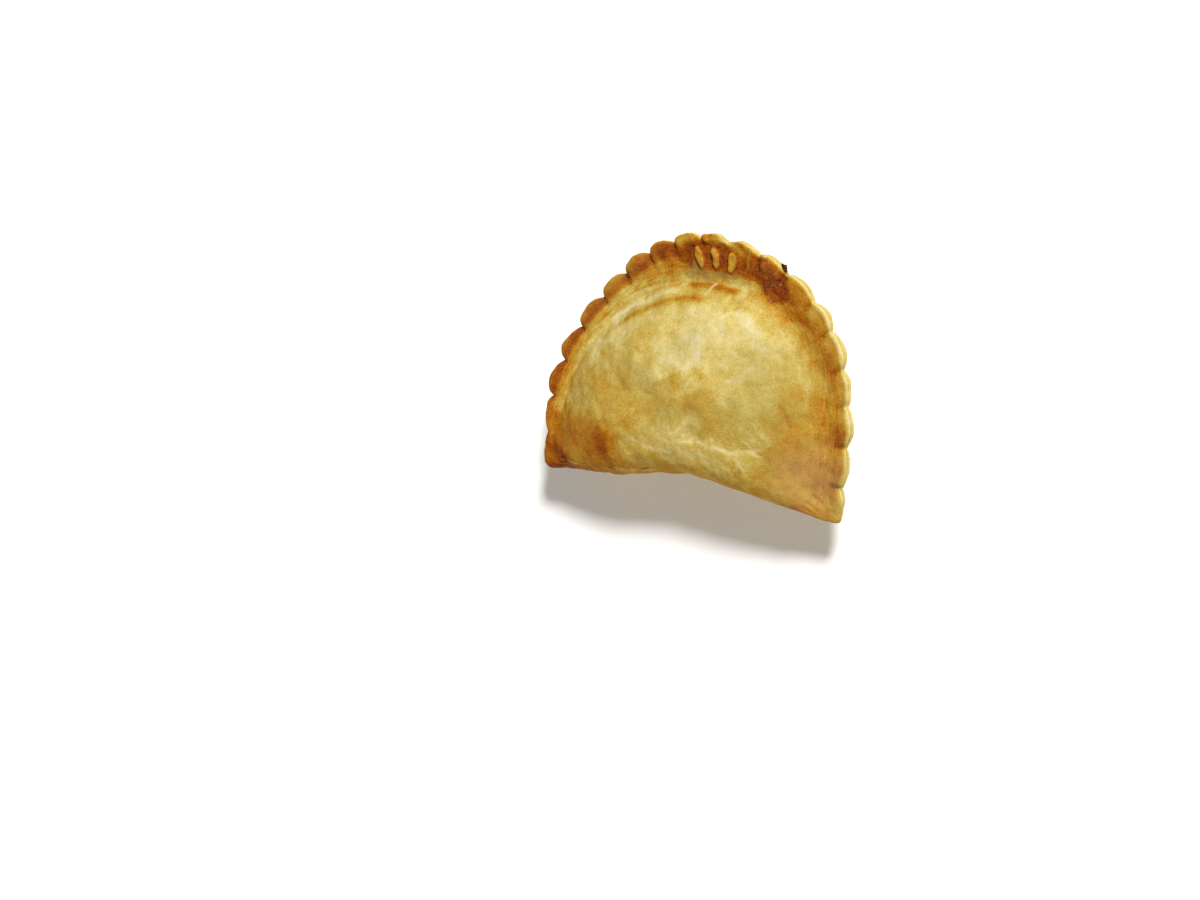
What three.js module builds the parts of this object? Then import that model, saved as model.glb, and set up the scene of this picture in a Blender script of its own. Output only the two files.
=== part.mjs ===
// Empanada: a half-moon of pastry folded over its filling and sealed along a crimped rim.
// Millimetres, +Z up. It lies on its flat underside with the crown up.
// +X runs along the fold and +Y from the fold to the arched rim.
// The origin is under the middle of the part's box, on the surface that it rests on.
import * as THREE from "three";

// Plan: half an ellipse on two short straight sides, closed by the fold.
const WIDTH = 118;
const DEPTH = 89;
const SIDE = 18;
const ARCH_HALF = WIDTH / 2;
const ARCH_RISE = DEPTH - SIDE;
const TURN_LENGTH = (ARCH_HALF + ARCH_RISE) / 2; // length of rim for each radian of the arch
const HALF_ARCH = (Math.PI / 2) * TURN_LENGTH + SIDE; // along the rim, from its top to a tip
const FOLD_DIP = 8; // how far the fold draws in at its middle
const FOLD_BEND = 6; // half length of the soft bend in the fold
const FOLD_MIDDLE = 3; // the bend is a little off centre
const FOLD_SAG = 1.5; // the left half of the fold bulges out by this much
const FOLD_SAG_AT = -26;
const FOLD_SAG_WIDTH = 15;
const TIP_ROUND = 4; // softening of the two tips
const LEAN = 3.4; // the arch bows this far to the right, most near its top
const LEAN_POWER = 2.6; // the higher, the nearer to the top the bow lies
const HUB = new THREE.Vector2(0, SIDE); // every ring of the skin is drawn about this point

// Heights above the table.
const CROWN_HEIGHT = 36;
const RIM_UNDERSIDE = 14.1;
const RIM_THICKNESS = 3.4;
const RIM_TOP = RIM_UNDERSIDE + RIM_THICKNESS;
const LEFT_RIM_LIFT = 1.8; // the rim curls up towards its outer edge, less on the right
const RIGHT_RIM_LIFT = 0.6;
const RIM_SWAY = 0.7; // and waves a little along its length
const SWAY_REACH = 2; // rim widths in from the arch, where the wave ends
const SWAY_LENGTH = 17;
const SWAY_START = 0.6;
const REST_CUT = 0.6; // how deep the resting spot is pressed flat

// Crimped rim, from its outer edge inwards: scallops, pressed band, valley, crown.
const SCALLOPS = 19;
const SCALLOP_PITCH = (2 * HALF_ARCH) / SCALLOPS;
const SCALLOP_DEPTH = 1.9;
const SCALLOP_FULLNESS = 0.6; // under 1 the scallops are blunt and the notches narrow
const SCALLOP_SHARE = 0.42; // of the rim's width
const SCALLOP_SHARE_RIGHT = 0.58; // on the right less of the band is left
const BAND_RUNS_OUT = [0, 0.5]; // shares of the way from the top to the right tip
const SCALLOP_SOFT = 0.28; // how softly the scallops run out into the band
const SCALLOP_CROWN = 1.4; // how far the scallops puff up, less on the right
const SCALLOP_CROWN_RIGHT = 0.9;
const CRIMP_DEPTH = 1.1; // the groove that runs in from each notch, shallower on the right
const CRIMP_DEPTH_RIGHT = 0.7;
const CRIMP_WIDTH = 0.34;
const RIM_WIDTH = 10.8;
const LEFT_RIM_SHARE = 0.62; // the rim narrows to these shares down its two sides
const RIGHT_RIM_SHARE = 0.76;
const NARROWING = [0.35, 0.75]; // where it narrows, as shares of the way from the top to a tip
const LEFT_TIP_SHARE = 0.5; // and once more at the tips
const RIGHT_TIP_SHARE = 0.75;
const VALLEY_DEPTH = 0.7;
const VALLEY_WIDTH = 1.5;
const VALLEY_TOE = 3; // how softly the valley turns up into the crown
const RIB_SHARE = 0.76; // a thin rib pressed along the band, which runs out on the right
const RIB_RUNS_OUT = [-0.15, 0.2]; // shares of the same way
const RIB_HEIGHT = 0.4;
const RIB_WIDTH = 0.9;
const RIM_EDGE = 0.9; // rounding of the rim's upper and lower edge
const FOLD_EDGE = RIM_THICKNESS / 2;
const SEAM_DEPTH = 0.4; // the seam between the two layers, all along the rim's side
const SEAM_LEVEL = 0.5; // share of the way up the side
const SEAM_REACH = 0.22; // half height of the seam, as a share of the side

// Pressed panel at the top of the arch, with three plain grains in relief.
const PANEL_HALF = 12.5;
const PANEL_SOFT = 6; // how softly its ends run out
const PANEL_FADE = 3 * RIM_WIDTH; // the panel's pull on the crown ends this far in from the arch
const PANEL_EXTRA_RIM = 2.6;
const PANEL_DEPTH = 0.8;
const PANEL_INSET = 6.6;
const PANEL_REACH = 4.5;
const PANEL_CRIMP_LOSS = 0.9; // the press flattens this share of the crimps
const GRAIN_SPACING = 8;
const GRAIN_LENGTH = 4;
const GRAIN_WIDTH = 2.7;
const GRAIN_HEIGHT = 1.3;
const GRAIN_FAN = 0.3; // turn of the outer grains, in radians
const GRAIN_FLAT = 0.5; // share of each grain that is level on top

// Crown: a soft shoulder, steeper on the right, then a long soft rise, and the lumps of the filling
// under the skin.
const LEFT_SHOULDER_RISE = 14;
const RIGHT_SHOULDER_RISE = 11;
const LEFT_SHOULDER_SHARE = 0.16; // of the crown's height
const RIGHT_SHOULDER_SHARE = 0.26;
const LEFT_CROWN_RISE = 56;
const RIGHT_CROWN_RISE = 44;
const FOLD_RISE = 25;
const FOLD_POWER = 2.5;
const UNDER_RISE = 15; // the underside falls from the rim to the table over this distance
const UNDER_LEAD = 3; // and starts this far outside the crown
const UNDER_FOLD_RISE = 9;
const LEFT_FADE = 32; // the rim's features fade over these distances from the fold
const RIGHT_FADE = 14;
const SEAM_FADE = 12;
const LUMPS = [
  { x: -24, y: 46, size: 11, height: 1.6 },
  { x: -4, y: 53, size: 7, height: -1.7 },
  { x: 8, y: 41, size: 9, height: 1.6 },
  { x: 23, y: 48, size: 7, height: -1.5 },
  { x: 31, y: 34, size: 9, height: 1.3 },
  { x: -13, y: 29, size: 8, height: -1.4 },
  { x: -33, y: 27, size: 9, height: 1.2 },
  { x: 12, y: 21, size: 8, height: -1.1 },
  { x: 14, y: 60, size: 7, height: 1.1 },
];

// Mesh: rings as shares of the way from the hub to the outline, with the points round each.
const POINTS_PER_SCALLOP = 8;
const FOLD_POINTS = 48;
const ROUND_POINTS = SCALLOPS * POINTS_PER_SCALLOP + FOLD_POINTS;
const UNDER_RINGS = [0.3, 0.55, 0.66, 0.76, 0.84, 0.91, 0.97];
const SIDE_RINGS = [0, 0.3, 0.5, 0.7, 1];
const OVER_RINGS = [
  0.988, 0.97, 0.948, 0.924, 0.9, 0.877, 0.856, 0.836, 0.816, 0.795, 0.765, 0.72, 0.65, 0.55, 0.43, 0.3, 0.16,
];
const FULL_RING = 0.8; // rings outside this share carry every point
const SCALLOP_RING = 0.84; // rings inside this share are free of scallops
const FEWEST_POINTS = 16;
const EDGE_SEARCH_STEPS = 40;
const REACH = WIDTH; // a ray this long always leaves the outline

const { clamp, lerp, smoothstep } = THREE.MathUtils;

/** A bell curve of height 1. */
function bell(offset, width) {
  return Math.exp(-((offset / width) ** 2));
}

/** A rise from 0 to 1 that starts steeply and levels off. */
function easeOut(share) {
  return 1 - (1 - clamp(share, 0, 1)) ** 2;
}

/** A rise from 0 to 1 that starts upright, as the round of a fold does. */
function roundOver(share) {
  return (1 - (1 - clamp(share, 0, 1)) ** FOLD_POWER) ** (1 / FOLD_POWER);
}

/** A distance cut off below 0, with a soft toe that starts a third of its length late. */
function softRamp(distance, toe) {
  const late = distance - toe / 3;
  return (late + Math.hypot(late, toe)) / 2;
}

/** The smaller of two distances, rounded off over a blend length. */
function softMin(a, b, blend) {
  const mix = clamp(0.5 + (b - a) / (2 * blend), 0, 1);
  return lerp(b, a, mix) - blend * mix * (1 - mix);
}

/** Distance in from the smooth arch, in steps that follow its own shape. */
function archInset(x, y) {
  return ARCH_HALF * (1 - Math.hypot(x / ARCH_HALF, Math.max(0, y - SIDE) / ARCH_RISE));
}

/** Distance along the rim from the top of the arch, positive to the right. */
function alongRim(x, y) {
  if (y > SIDE) return TURN_LENGTH * Math.atan2(x / ARCH_HALF, (y - SIDE) / ARCH_RISE);
  return Math.sign(x) * (HALF_ARCH - y);
}

/** A point of the smooth arch at a distance along the rim. */
function archPoint(along) {
  const angle = clamp(along / TURN_LENGTH, -Math.PI / 2, Math.PI / 2);
  const down = Math.max(0, Math.abs(along) - (HALF_ARCH - SIDE));
  return new THREE.Vector2(ARCH_HALF * Math.sin(angle), SIDE + ARCH_RISE * Math.cos(angle) - down);
}

/** How far a place along the fold is past its soft bend. */
function pastBend(x) {
  return Math.hypot(x - FOLD_MIDDLE, FOLD_BEND) - FOLD_BEND;
}

/** The fold's line: tips at y = 0, drawn in to its dip by a soft bend, with a sag on the left. */
function foldLine(x) {
  const tip = Math.sign(x - FOLD_MIDDLE) * ARCH_HALF;
  const sag = FOLD_SAG * bell(x - FOLD_SAG_AT, FOLD_SAG_WIDTH);
  return FOLD_DIP * (1 - pastBend(x) / pastBend(tip)) - sag;
}

/** Distance in from the fold. */
function foldInset(x, y) {
  return y - foldLine(x);
}

/** How round the scallop is at a place along the rim: 0 in a notch, 1 on the crest. */
function scallop(along) {
  return Math.abs(Math.sin((Math.PI * (along + HALF_ARCH)) / SCALLOP_PITCH));
}

/** How far the outline steps in from the smooth arch. */
function notchStep(along) {
  return SCALLOP_DEPTH * (1 - scallop(along) ** SCALLOP_FULLNESS);
}

/** A value that passes from one at the left tip to one at the right tip. */
function acrossPlan(left, right, x) {
  return lerp(left, right, smoothstep(x, -ARCH_HALF / 2, ARCH_HALF / 2));
}

/** How fully the rim's features show: 0 at the fold, 1 up the rim. */
function rimShareAt(x, y) {
  return smoothstep(foldInset(x, y), 0, acrossPlan(LEFT_FADE, RIGHT_FADE, x));
}

/** The rim's width at a place along it, before it narrows to the tips. */
function sideWidth(along) {
  const share = along < 0 ? LEFT_RIM_SHARE : RIGHT_RIM_SHARE;
  return RIM_WIDTH * lerp(1, share, smoothstep(Math.abs(along) / HALF_ARCH, ...NARROWING));
}

/** Distance in from the outline with its rounded tips, with a share of the scallops' depth. */
function edgeInset(x, y, scallopShare = 1) {
  const depth = scallopShare * Math.sqrt(rimShareAt(x, y));
  const rim = archInset(x, y) - depth * notchStep(alongRim(x, y));
  return softMin(rim, foldInset(x, y), TIP_ROUND);
}

/** How far a rounded edge falls below its flat, at a distance in from the outline. */
function edgeDrop(inset, radius) {
  const short = radius - clamp(inset, 0, radius);
  return radius - Math.sqrt(radius * radius - short * short);
}

/** Everything that the two skins need to know about one place in the plan. */
function placeAt(x, y) {
  const along = alongRim(x, y);
  const arch = archInset(x, y);
  const fold = foldInset(x, y);
  const rimShare = rimShareAt(x, y);
  const nearTop = y > SIDE ? 1 - smoothstep(arch, RIM_WIDTH, PANEL_FADE) : 0;
  const panel = nearTop * (1 - smoothstep(Math.abs(x), PANEL_HALF - PANEL_SOFT, PANEL_HALF + PANEL_SOFT));
  const tipShare = acrossPlan(LEFT_TIP_SHARE, RIGHT_TIP_SHARE, x);
  const rimWidth = (sideWidth(along) + PANEL_EXTRA_RIM * panel) * lerp(tipShare, 1, rimShare);
  return { x, y, along, arch, fold, rimShare, panel, rimWidth, edge: edgeInset(x, y) };
}

/** The rim's curl and sway above its level plane. */
function rimLift({ x, along, arch, rimWidth, rimShare }) {
  const curl = acrossPlan(LEFT_RIM_LIFT, RIGHT_RIM_LIFT, x) * clamp(1 - arch / rimWidth, 0, 1);
  const wave = RIM_SWAY * Math.sin(along / SWAY_LENGTH + SWAY_START);
  const sway = wave * clamp(SWAY_REACH - arch / rimWidth, 0, 1);
  return (curl + sway) * rimShare;
}

/** Relief of the pressed panel: a sunken ground with three grains fanned out on it. */
function panelRelief({ along, arch, panel }) {
  const ground = -PANEL_DEPTH * panel * bell(arch - PANEL_INSET, PANEL_REACH);
  let relief = ground;
  for (const side of [-1, 0, 1]) {
    const turn = side * GRAIN_FAN;
    const across = along - side * GRAIN_SPACING;
    const up = PANEL_INSET - arch;
    const length = up * Math.cos(turn) + across * Math.sin(turn);
    const width = across * Math.cos(turn) - up * Math.sin(turn);
    const away = Math.hypot(length / GRAIN_LENGTH, width / GRAIN_WIDTH);
    relief += GRAIN_HEIGHT * (1 - smoothstep(away, GRAIN_FLAT, 1));
  }
  return relief;
}

/** Relief of the rim's upper face: scallop crowns, crimps, the band's rib and the valley. */
function rimRelief(place) {
  const { along, arch, rimShare, rimWidth, panel } = place;
  const round = scallop(along);
  const right = along / HALF_ARCH;
  const runOut = smoothstep(right, ...BAND_RUNS_OUT);
  const reach = lerp(SCALLOP_SHARE, SCALLOP_SHARE_RIGHT, runOut);
  const outer = 1 - smoothstep(arch / rimWidth, reach - SCALLOP_SOFT, reach + SCALLOP_SOFT);
  const pressed = 1 - PANEL_CRIMP_LOSS * panel;
  const crown = lerp(SCALLOP_CROWN, SCALLOP_CROWN_RIGHT, runOut) * Math.sqrt(round) * outer * pressed;
  const crimpDepth = lerp(CRIMP_DEPTH, CRIMP_DEPTH_RIGHT, runOut);
  const crimp = crimpDepth * bell(round, CRIMP_WIDTH) * outer * pressed;
  const ribShare = (1 - smoothstep(right, ...RIB_RUNS_OUT)) * (1 - panel);
  const rib = RIB_HEIGHT * bell(arch - RIB_SHARE * rimWidth, RIB_WIDTH) * ribShare;
  const valley = VALLEY_DEPTH * bell(arch - rimWidth, VALLEY_WIDTH);
  return (crown - crimp + rib - valley + panelRelief(place)) * rimShare;
}

/** Height of the crown above the rim, before its lumps: 0 at the rim and the fold, 1 on top. */
function crownShare({ x, arch, fold, rimWidth }) {
  const inside = softRamp(arch - rimWidth, VALLEY_TOE);
  const shoulder = easeOut(inside / acrossPlan(LEFT_SHOULDER_RISE, RIGHT_SHOULDER_RISE, x));
  const shoulderShare = acrossPlan(LEFT_SHOULDER_SHARE, RIGHT_SHOULDER_SHARE, x);
  const rise = easeOut(inside / acrossPlan(LEFT_CROWN_RISE, RIGHT_CROWN_RISE, x));
  return lerp(rise, shoulder, shoulderShare) * roundOver(fold / FOLD_RISE);
}

/** The filling's lumps at a place in the plan. */
function lumps(x, y) {
  let height = 0;
  for (const lump of LUMPS) height += lump.height * bell(Math.hypot(x - lump.x, y - lump.y), lump.size);
  return height;
}

/** Rounding radius of the outline's edges: tight on the rim, full along the fold. */
function edgeRadius({ rimShare }) {
  return lerp(FOLD_EDGE, RIM_EDGE, rimShare);
}

/** Height of the upper skin. */
function upperSkin(place) {
  const share = crownShare(place);
  const crown = share * (CROWN_HEIGHT - RIM_TOP + lumps(place.x, place.y));
  const rim = rimLift(place) + rimRelief(place);
  return RIM_TOP + rim + crown - edgeDrop(place.edge, edgeRadius(place));
}

/** Height of the lower skin, flat where the part rests. */
function lowerSkin(place) {
  const fromRim = smoothstep(place.arch - place.rimWidth, -UNDER_LEAD, UNDER_RISE);
  const sunk = (RIM_UNDERSIDE + REST_CUT) * fromRim * roundOver(place.fold / UNDER_FOLD_RISE);
  const height = RIM_UNDERSIDE + rimLift(place) - sunk + edgeDrop(place.edge, edgeRadius(place));
  return Math.max(0, height);
}

/** Direction from the hub to the outline at a share of the way round, from the right tip. */
function rayAt(share) {
  const step = share * ROUND_POINTS;
  const rimSteps = SCALLOPS * POINTS_PER_SCALLOP;
  const onFold = step > rimSteps;
  const foldX = ARCH_HALF * ((2 * (step - rimSteps)) / FOLD_POINTS - 1);
  const aim = onFold
    ? new THREE.Vector2(foldX, foldLine(foldX))
    : archPoint(HALF_ARCH - (step * SCALLOP_PITCH) / POINTS_PER_SCALLOP);
  return aim.sub(HUB).normalize();
}

/** The outline's point at a share of the way round, found along the ray from the hub. */
function outlinePoint(share, scallopShare = 1) {
  const ray = rayAt(share);
  let near = 0;
  let far = REACH;
  for (let step = 0; step < EDGE_SEARCH_STEPS; step += 1) {
    const middle = (near + far) / 2;
    const inside = edgeInset(HUB.x + ray.x * middle, HUB.y + ray.y * middle, scallopShare) > 0;
    if (inside) near = middle;
    else far = middle;
  }
  return ray.multiplyScalar(near).add(HUB);
}

/** A point of the skin where the plan's lean leaves it. */
function leaning(flat, height) {
  const lean = LEAN * Math.sin(Math.PI * clamp(flat.y / DEPTH, 0, 1) ** LEAN_POWER);
  return new THREE.Vector3(flat.x + lean, flat.y, height);
}

/** Points round a ring: every point near the outline, fewer towards the hub. */
function ringCount(scale) {
  if (scale >= FULL_RING) return ROUND_POINTS;
  return Math.max(FEWEST_POINTS, Math.round((ROUND_POINTS * scale) / FULL_RING));
}

/** A ring of the skin, scaled about the hub, at the heights that a function gives. */
function ring(scale, heightAt) {
  const count = ringCount(scale);
  const scallopShare = smoothstep(scale, SCALLOP_RING, 1);
  const points = [];
  for (let index = 0; index < count; index += 1) {
    const flat = outlinePoint(index / count, scallopShare).sub(HUB).multiplyScalar(scale).add(HUB);
    points.push(leaning(flat, heightAt(placeAt(flat.x, flat.y))));
  }
  return points;
}

/** A ring of the side, at a share of the way up from the lower skin to the upper one. */
function sideRing(rise) {
  const points = [];
  for (let index = 0; index < ROUND_POINTS; index += 1) {
    const edge = outlinePoint(index / ROUND_POINTS);
    const place = placeAt(edge.x, edge.y);
    const sealed = smoothstep(place.fold, 0, SEAM_FADE);
    const seam = SEAM_DEPTH * sealed * bell(rise - SEAM_LEVEL, SEAM_REACH);
    const radius = edge.distanceTo(HUB);
    const flat = edge.clone().sub(HUB).multiplyScalar(1 - seam / radius).add(HUB);
    points.push(leaning(flat, lerp(lowerSkin(place), upperSkin(place), rise)));
  }
  return points;
}

/** Joins two rings by triangles that step along whichever ring is behind. */
function zip(lower, upper, triangles) {
  let low = 0;
  let high = 0;
  while (low < lower.length || high < upper.length) {
    const lowPoint = lower[low % lower.length];
    const highPoint = upper[high % upper.length];
    if ((low + 1) / lower.length <= (high + 1) / upper.length) {
      low += 1;
      triangles.push(lowPoint, lower[low % lower.length], highPoint);
    } else {
      high += 1;
      triangles.push(lowPoint, upper[high % upper.length], highPoint);
    }
  }
}

/** Closes a ring with triangles to one point at the hub. */
function cap(points, height, facesUp, triangles) {
  const middle = leaning(HUB, height);
  points.forEach((point, index) => {
    const next = points[(index + 1) % points.length];
    if (facesUp) triangles.push(middle, point, next);
    else triangles.push(middle, next, point);
  });
}

/** The whole skin as one closed geometry: underside, side, upper face. */
function pastryGeometry() {
  const rings = [
    ...UNDER_RINGS.map((scale) => ring(scale, lowerSkin)),
    ...SIDE_RINGS.map((rise) => sideRing(rise)),
    ...OVER_RINGS.map((scale) => ring(scale, upperSkin)),
  ];
  const hub = placeAt(HUB.x, HUB.y);
  const triangles = [];
  cap(rings[0], lowerSkin(hub), false, triangles);
  for (let index = 1; index < rings.length; index += 1) zip(rings[index - 1], rings[index], triangles);
  cap(rings[rings.length - 1], upperSkin(hub), true, triangles);
  return new THREE.BufferGeometry().setFromPoints(triangles);
}

/** Moves a geometry so that the middle of its box stands over the origin, on z = 0. */
function standOnOrigin(geometry) {
  geometry.computeBoundingBox();
  const { min, max } = geometry.boundingBox;
  geometry.translate(-(min.x + max.x) / 2, -(min.y + max.y) / 2, -min.z);
  geometry.computeVertexNormals();
  return geometry;
}

const crust = new THREE.MeshStandardMaterial({ color: 0xcf9f4e, roughness: 0.42, metalness: 0 });
const pastry = new THREE.Mesh(standOnOrigin(pastryGeometry()), crust);
pastry.name = "pastry";

const empanada = new THREE.Group();
empanada.add(pastry);

export default empanada;
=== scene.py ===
"""A baked empanada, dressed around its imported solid.

Sizes are in millimetres in the pastry's own plan: x runs along the fold, y from the fold to the top of
the arch, z up from the table. Meshes go to metres when they are made.
"""
import logging
import math
from dataclasses import astuple, dataclass, field, replace
from enum import Enum
from typing import Sequence

import bpy
import numpy as np
from mathutils import Matrix, Vector


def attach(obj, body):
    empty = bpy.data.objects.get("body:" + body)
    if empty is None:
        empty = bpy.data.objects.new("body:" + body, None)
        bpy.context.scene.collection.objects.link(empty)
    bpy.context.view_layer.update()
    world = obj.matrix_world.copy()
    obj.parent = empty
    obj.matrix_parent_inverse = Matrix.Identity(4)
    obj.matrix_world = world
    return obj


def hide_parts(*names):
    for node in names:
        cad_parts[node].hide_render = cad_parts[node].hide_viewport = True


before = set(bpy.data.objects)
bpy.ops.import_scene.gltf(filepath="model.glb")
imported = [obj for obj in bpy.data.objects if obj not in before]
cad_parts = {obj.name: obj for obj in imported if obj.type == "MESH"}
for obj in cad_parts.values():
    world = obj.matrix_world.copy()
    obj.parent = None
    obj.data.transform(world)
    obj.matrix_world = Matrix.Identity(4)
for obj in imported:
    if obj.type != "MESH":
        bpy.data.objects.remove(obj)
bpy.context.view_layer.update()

BODY = "root"
NODE = "pastry"
MM = 0.001

Array = np.ndarray
Amount = Array | float
Pair = tuple[float, float]
Triple = tuple[float, float, float]
Colour = tuple[float, float, float, float]
Face = tuple[int, ...]
Socket = bpy.types.NodeSocket
log = logging.getLogger("empanada")


def lerp(low: Amount, high: Amount, share: Amount) -> Amount:
    """The value a share of the way from low to high."""
    return low + (high - low) * share


def smooth(value: Array, low: Amount, high: Amount) -> Array:
    """A soft step from 0 at low to 1 at high."""
    share = np.clip((value - low) / (high - low), 0.0, 1.0)
    return share * share * (3.0 - 2.0 * share)


def bell(offset: Array, width: float) -> Array:
    """A bell curve of height 1."""
    return np.exp(-((offset / width) ** 2))


def ease_out(share: Array) -> Array:
    """A rise from 0 to 1 that starts steeply and levels off."""
    return 1.0 - (1.0 - np.clip(share, 0.0, 1.0)) ** 2


def soft_ramp(distance: Array, toe: float) -> Array:
    """A distance cut off below 0, with a soft toe that starts a third of its length late."""
    late = distance - toe / 3.0
    return (late + np.hypot(late, toe)) / 2.0


def soft_min(a: Array, b: Array, blend: float) -> Array:
    """The smaller of two distances, rounded off over a blend length."""
    mix = np.clip(0.5 + (b - a) / (2.0 * blend), 0.0, 1.0)
    return lerp(b, a, mix) - blend * mix * (1.0 - mix)


def turned(x: Array, y: Array, angle: float) -> tuple[Array, Array]:
    """Offsets of the plan turned by an angle, in radians."""
    cosine, sine = math.cos(angle), math.sin(angle)
    return x * cosine - y * sine, x * sine + y * cosine


class Waves(Enum):
    """How many waves make up an unevenness."""

    FEW = 26
    SOME = 40
    MANY = 60


@dataclass(frozen=True)
class Unevenness:
    """Seeded smooth unevenness: waves in random directions, about as high as its strength."""

    seed: int
    size: float
    strength: float = 1.0
    waves: Waves = Waves.FEW
    spread: Pair = (0.6, 1.5)

    def at(self, *coords: Array) -> Array:
        """Samples the unevenness.

        Args:
            coords: one array for each axis, in millimetres.

        Returns:
            Values round 0 with a spread of about the strength.
        """
        count = self.waves.value
        rng = np.random.default_rng(self.seed)
        heading = rng.normal(size=(count, len(coords)))
        heading /= np.linalg.norm(heading, axis=1, keepdims=True)
        turns = math.tau / (self.size * rng.uniform(*self.spread, count))
        starts = rng.uniform(0.0, math.tau, count)
        total = np.zeros_like(coords[0])
        for direction, turn, start in zip(heading, turns, starts):
            reach = sum(part * axis for part, axis in zip(direction, coords))
            total += np.cos(turn * reach + start)
        return self.strength * (total * math.sqrt(2.0 / count))


@dataclass(frozen=True)
class Place:
    """What the skins need to know about each point of the plan.

    Attributes:
        x: plan coordinate along the fold.
        y: plan coordinate from the fold to the arch.
        side: 0 on the left of the arch, 1 on the right.
        along: distance along the rim from the top of the arch, positive to the right.
        turn: the same as a share of the way to a tip.
        arch: distance in from the smooth arch.
        fold: distance in from the fold.
        edge: distance in from the outline.
        scallop: 0 in a notch of the rim, 1 on the crest of a scallop.
        lap: 0.5 where a scallop laps over the last one, -0.5 at its end.
        rim_share: how fully the rim's features show.
        rim_width: width of the rim.
        panel: how far the point lies in the pressed panel.
        sealed: 0 at the fold, 1 where two layers are pressed together.
    """

    x: Array
    y: Array
    side: Array
    along: Array
    turn: Array
    arch: Array
    fold: Array
    edge: Array
    scallop: Array
    lap: Array
    rim_share: Array
    rim_width: Array
    panel: Array
    sealed: Array


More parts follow.
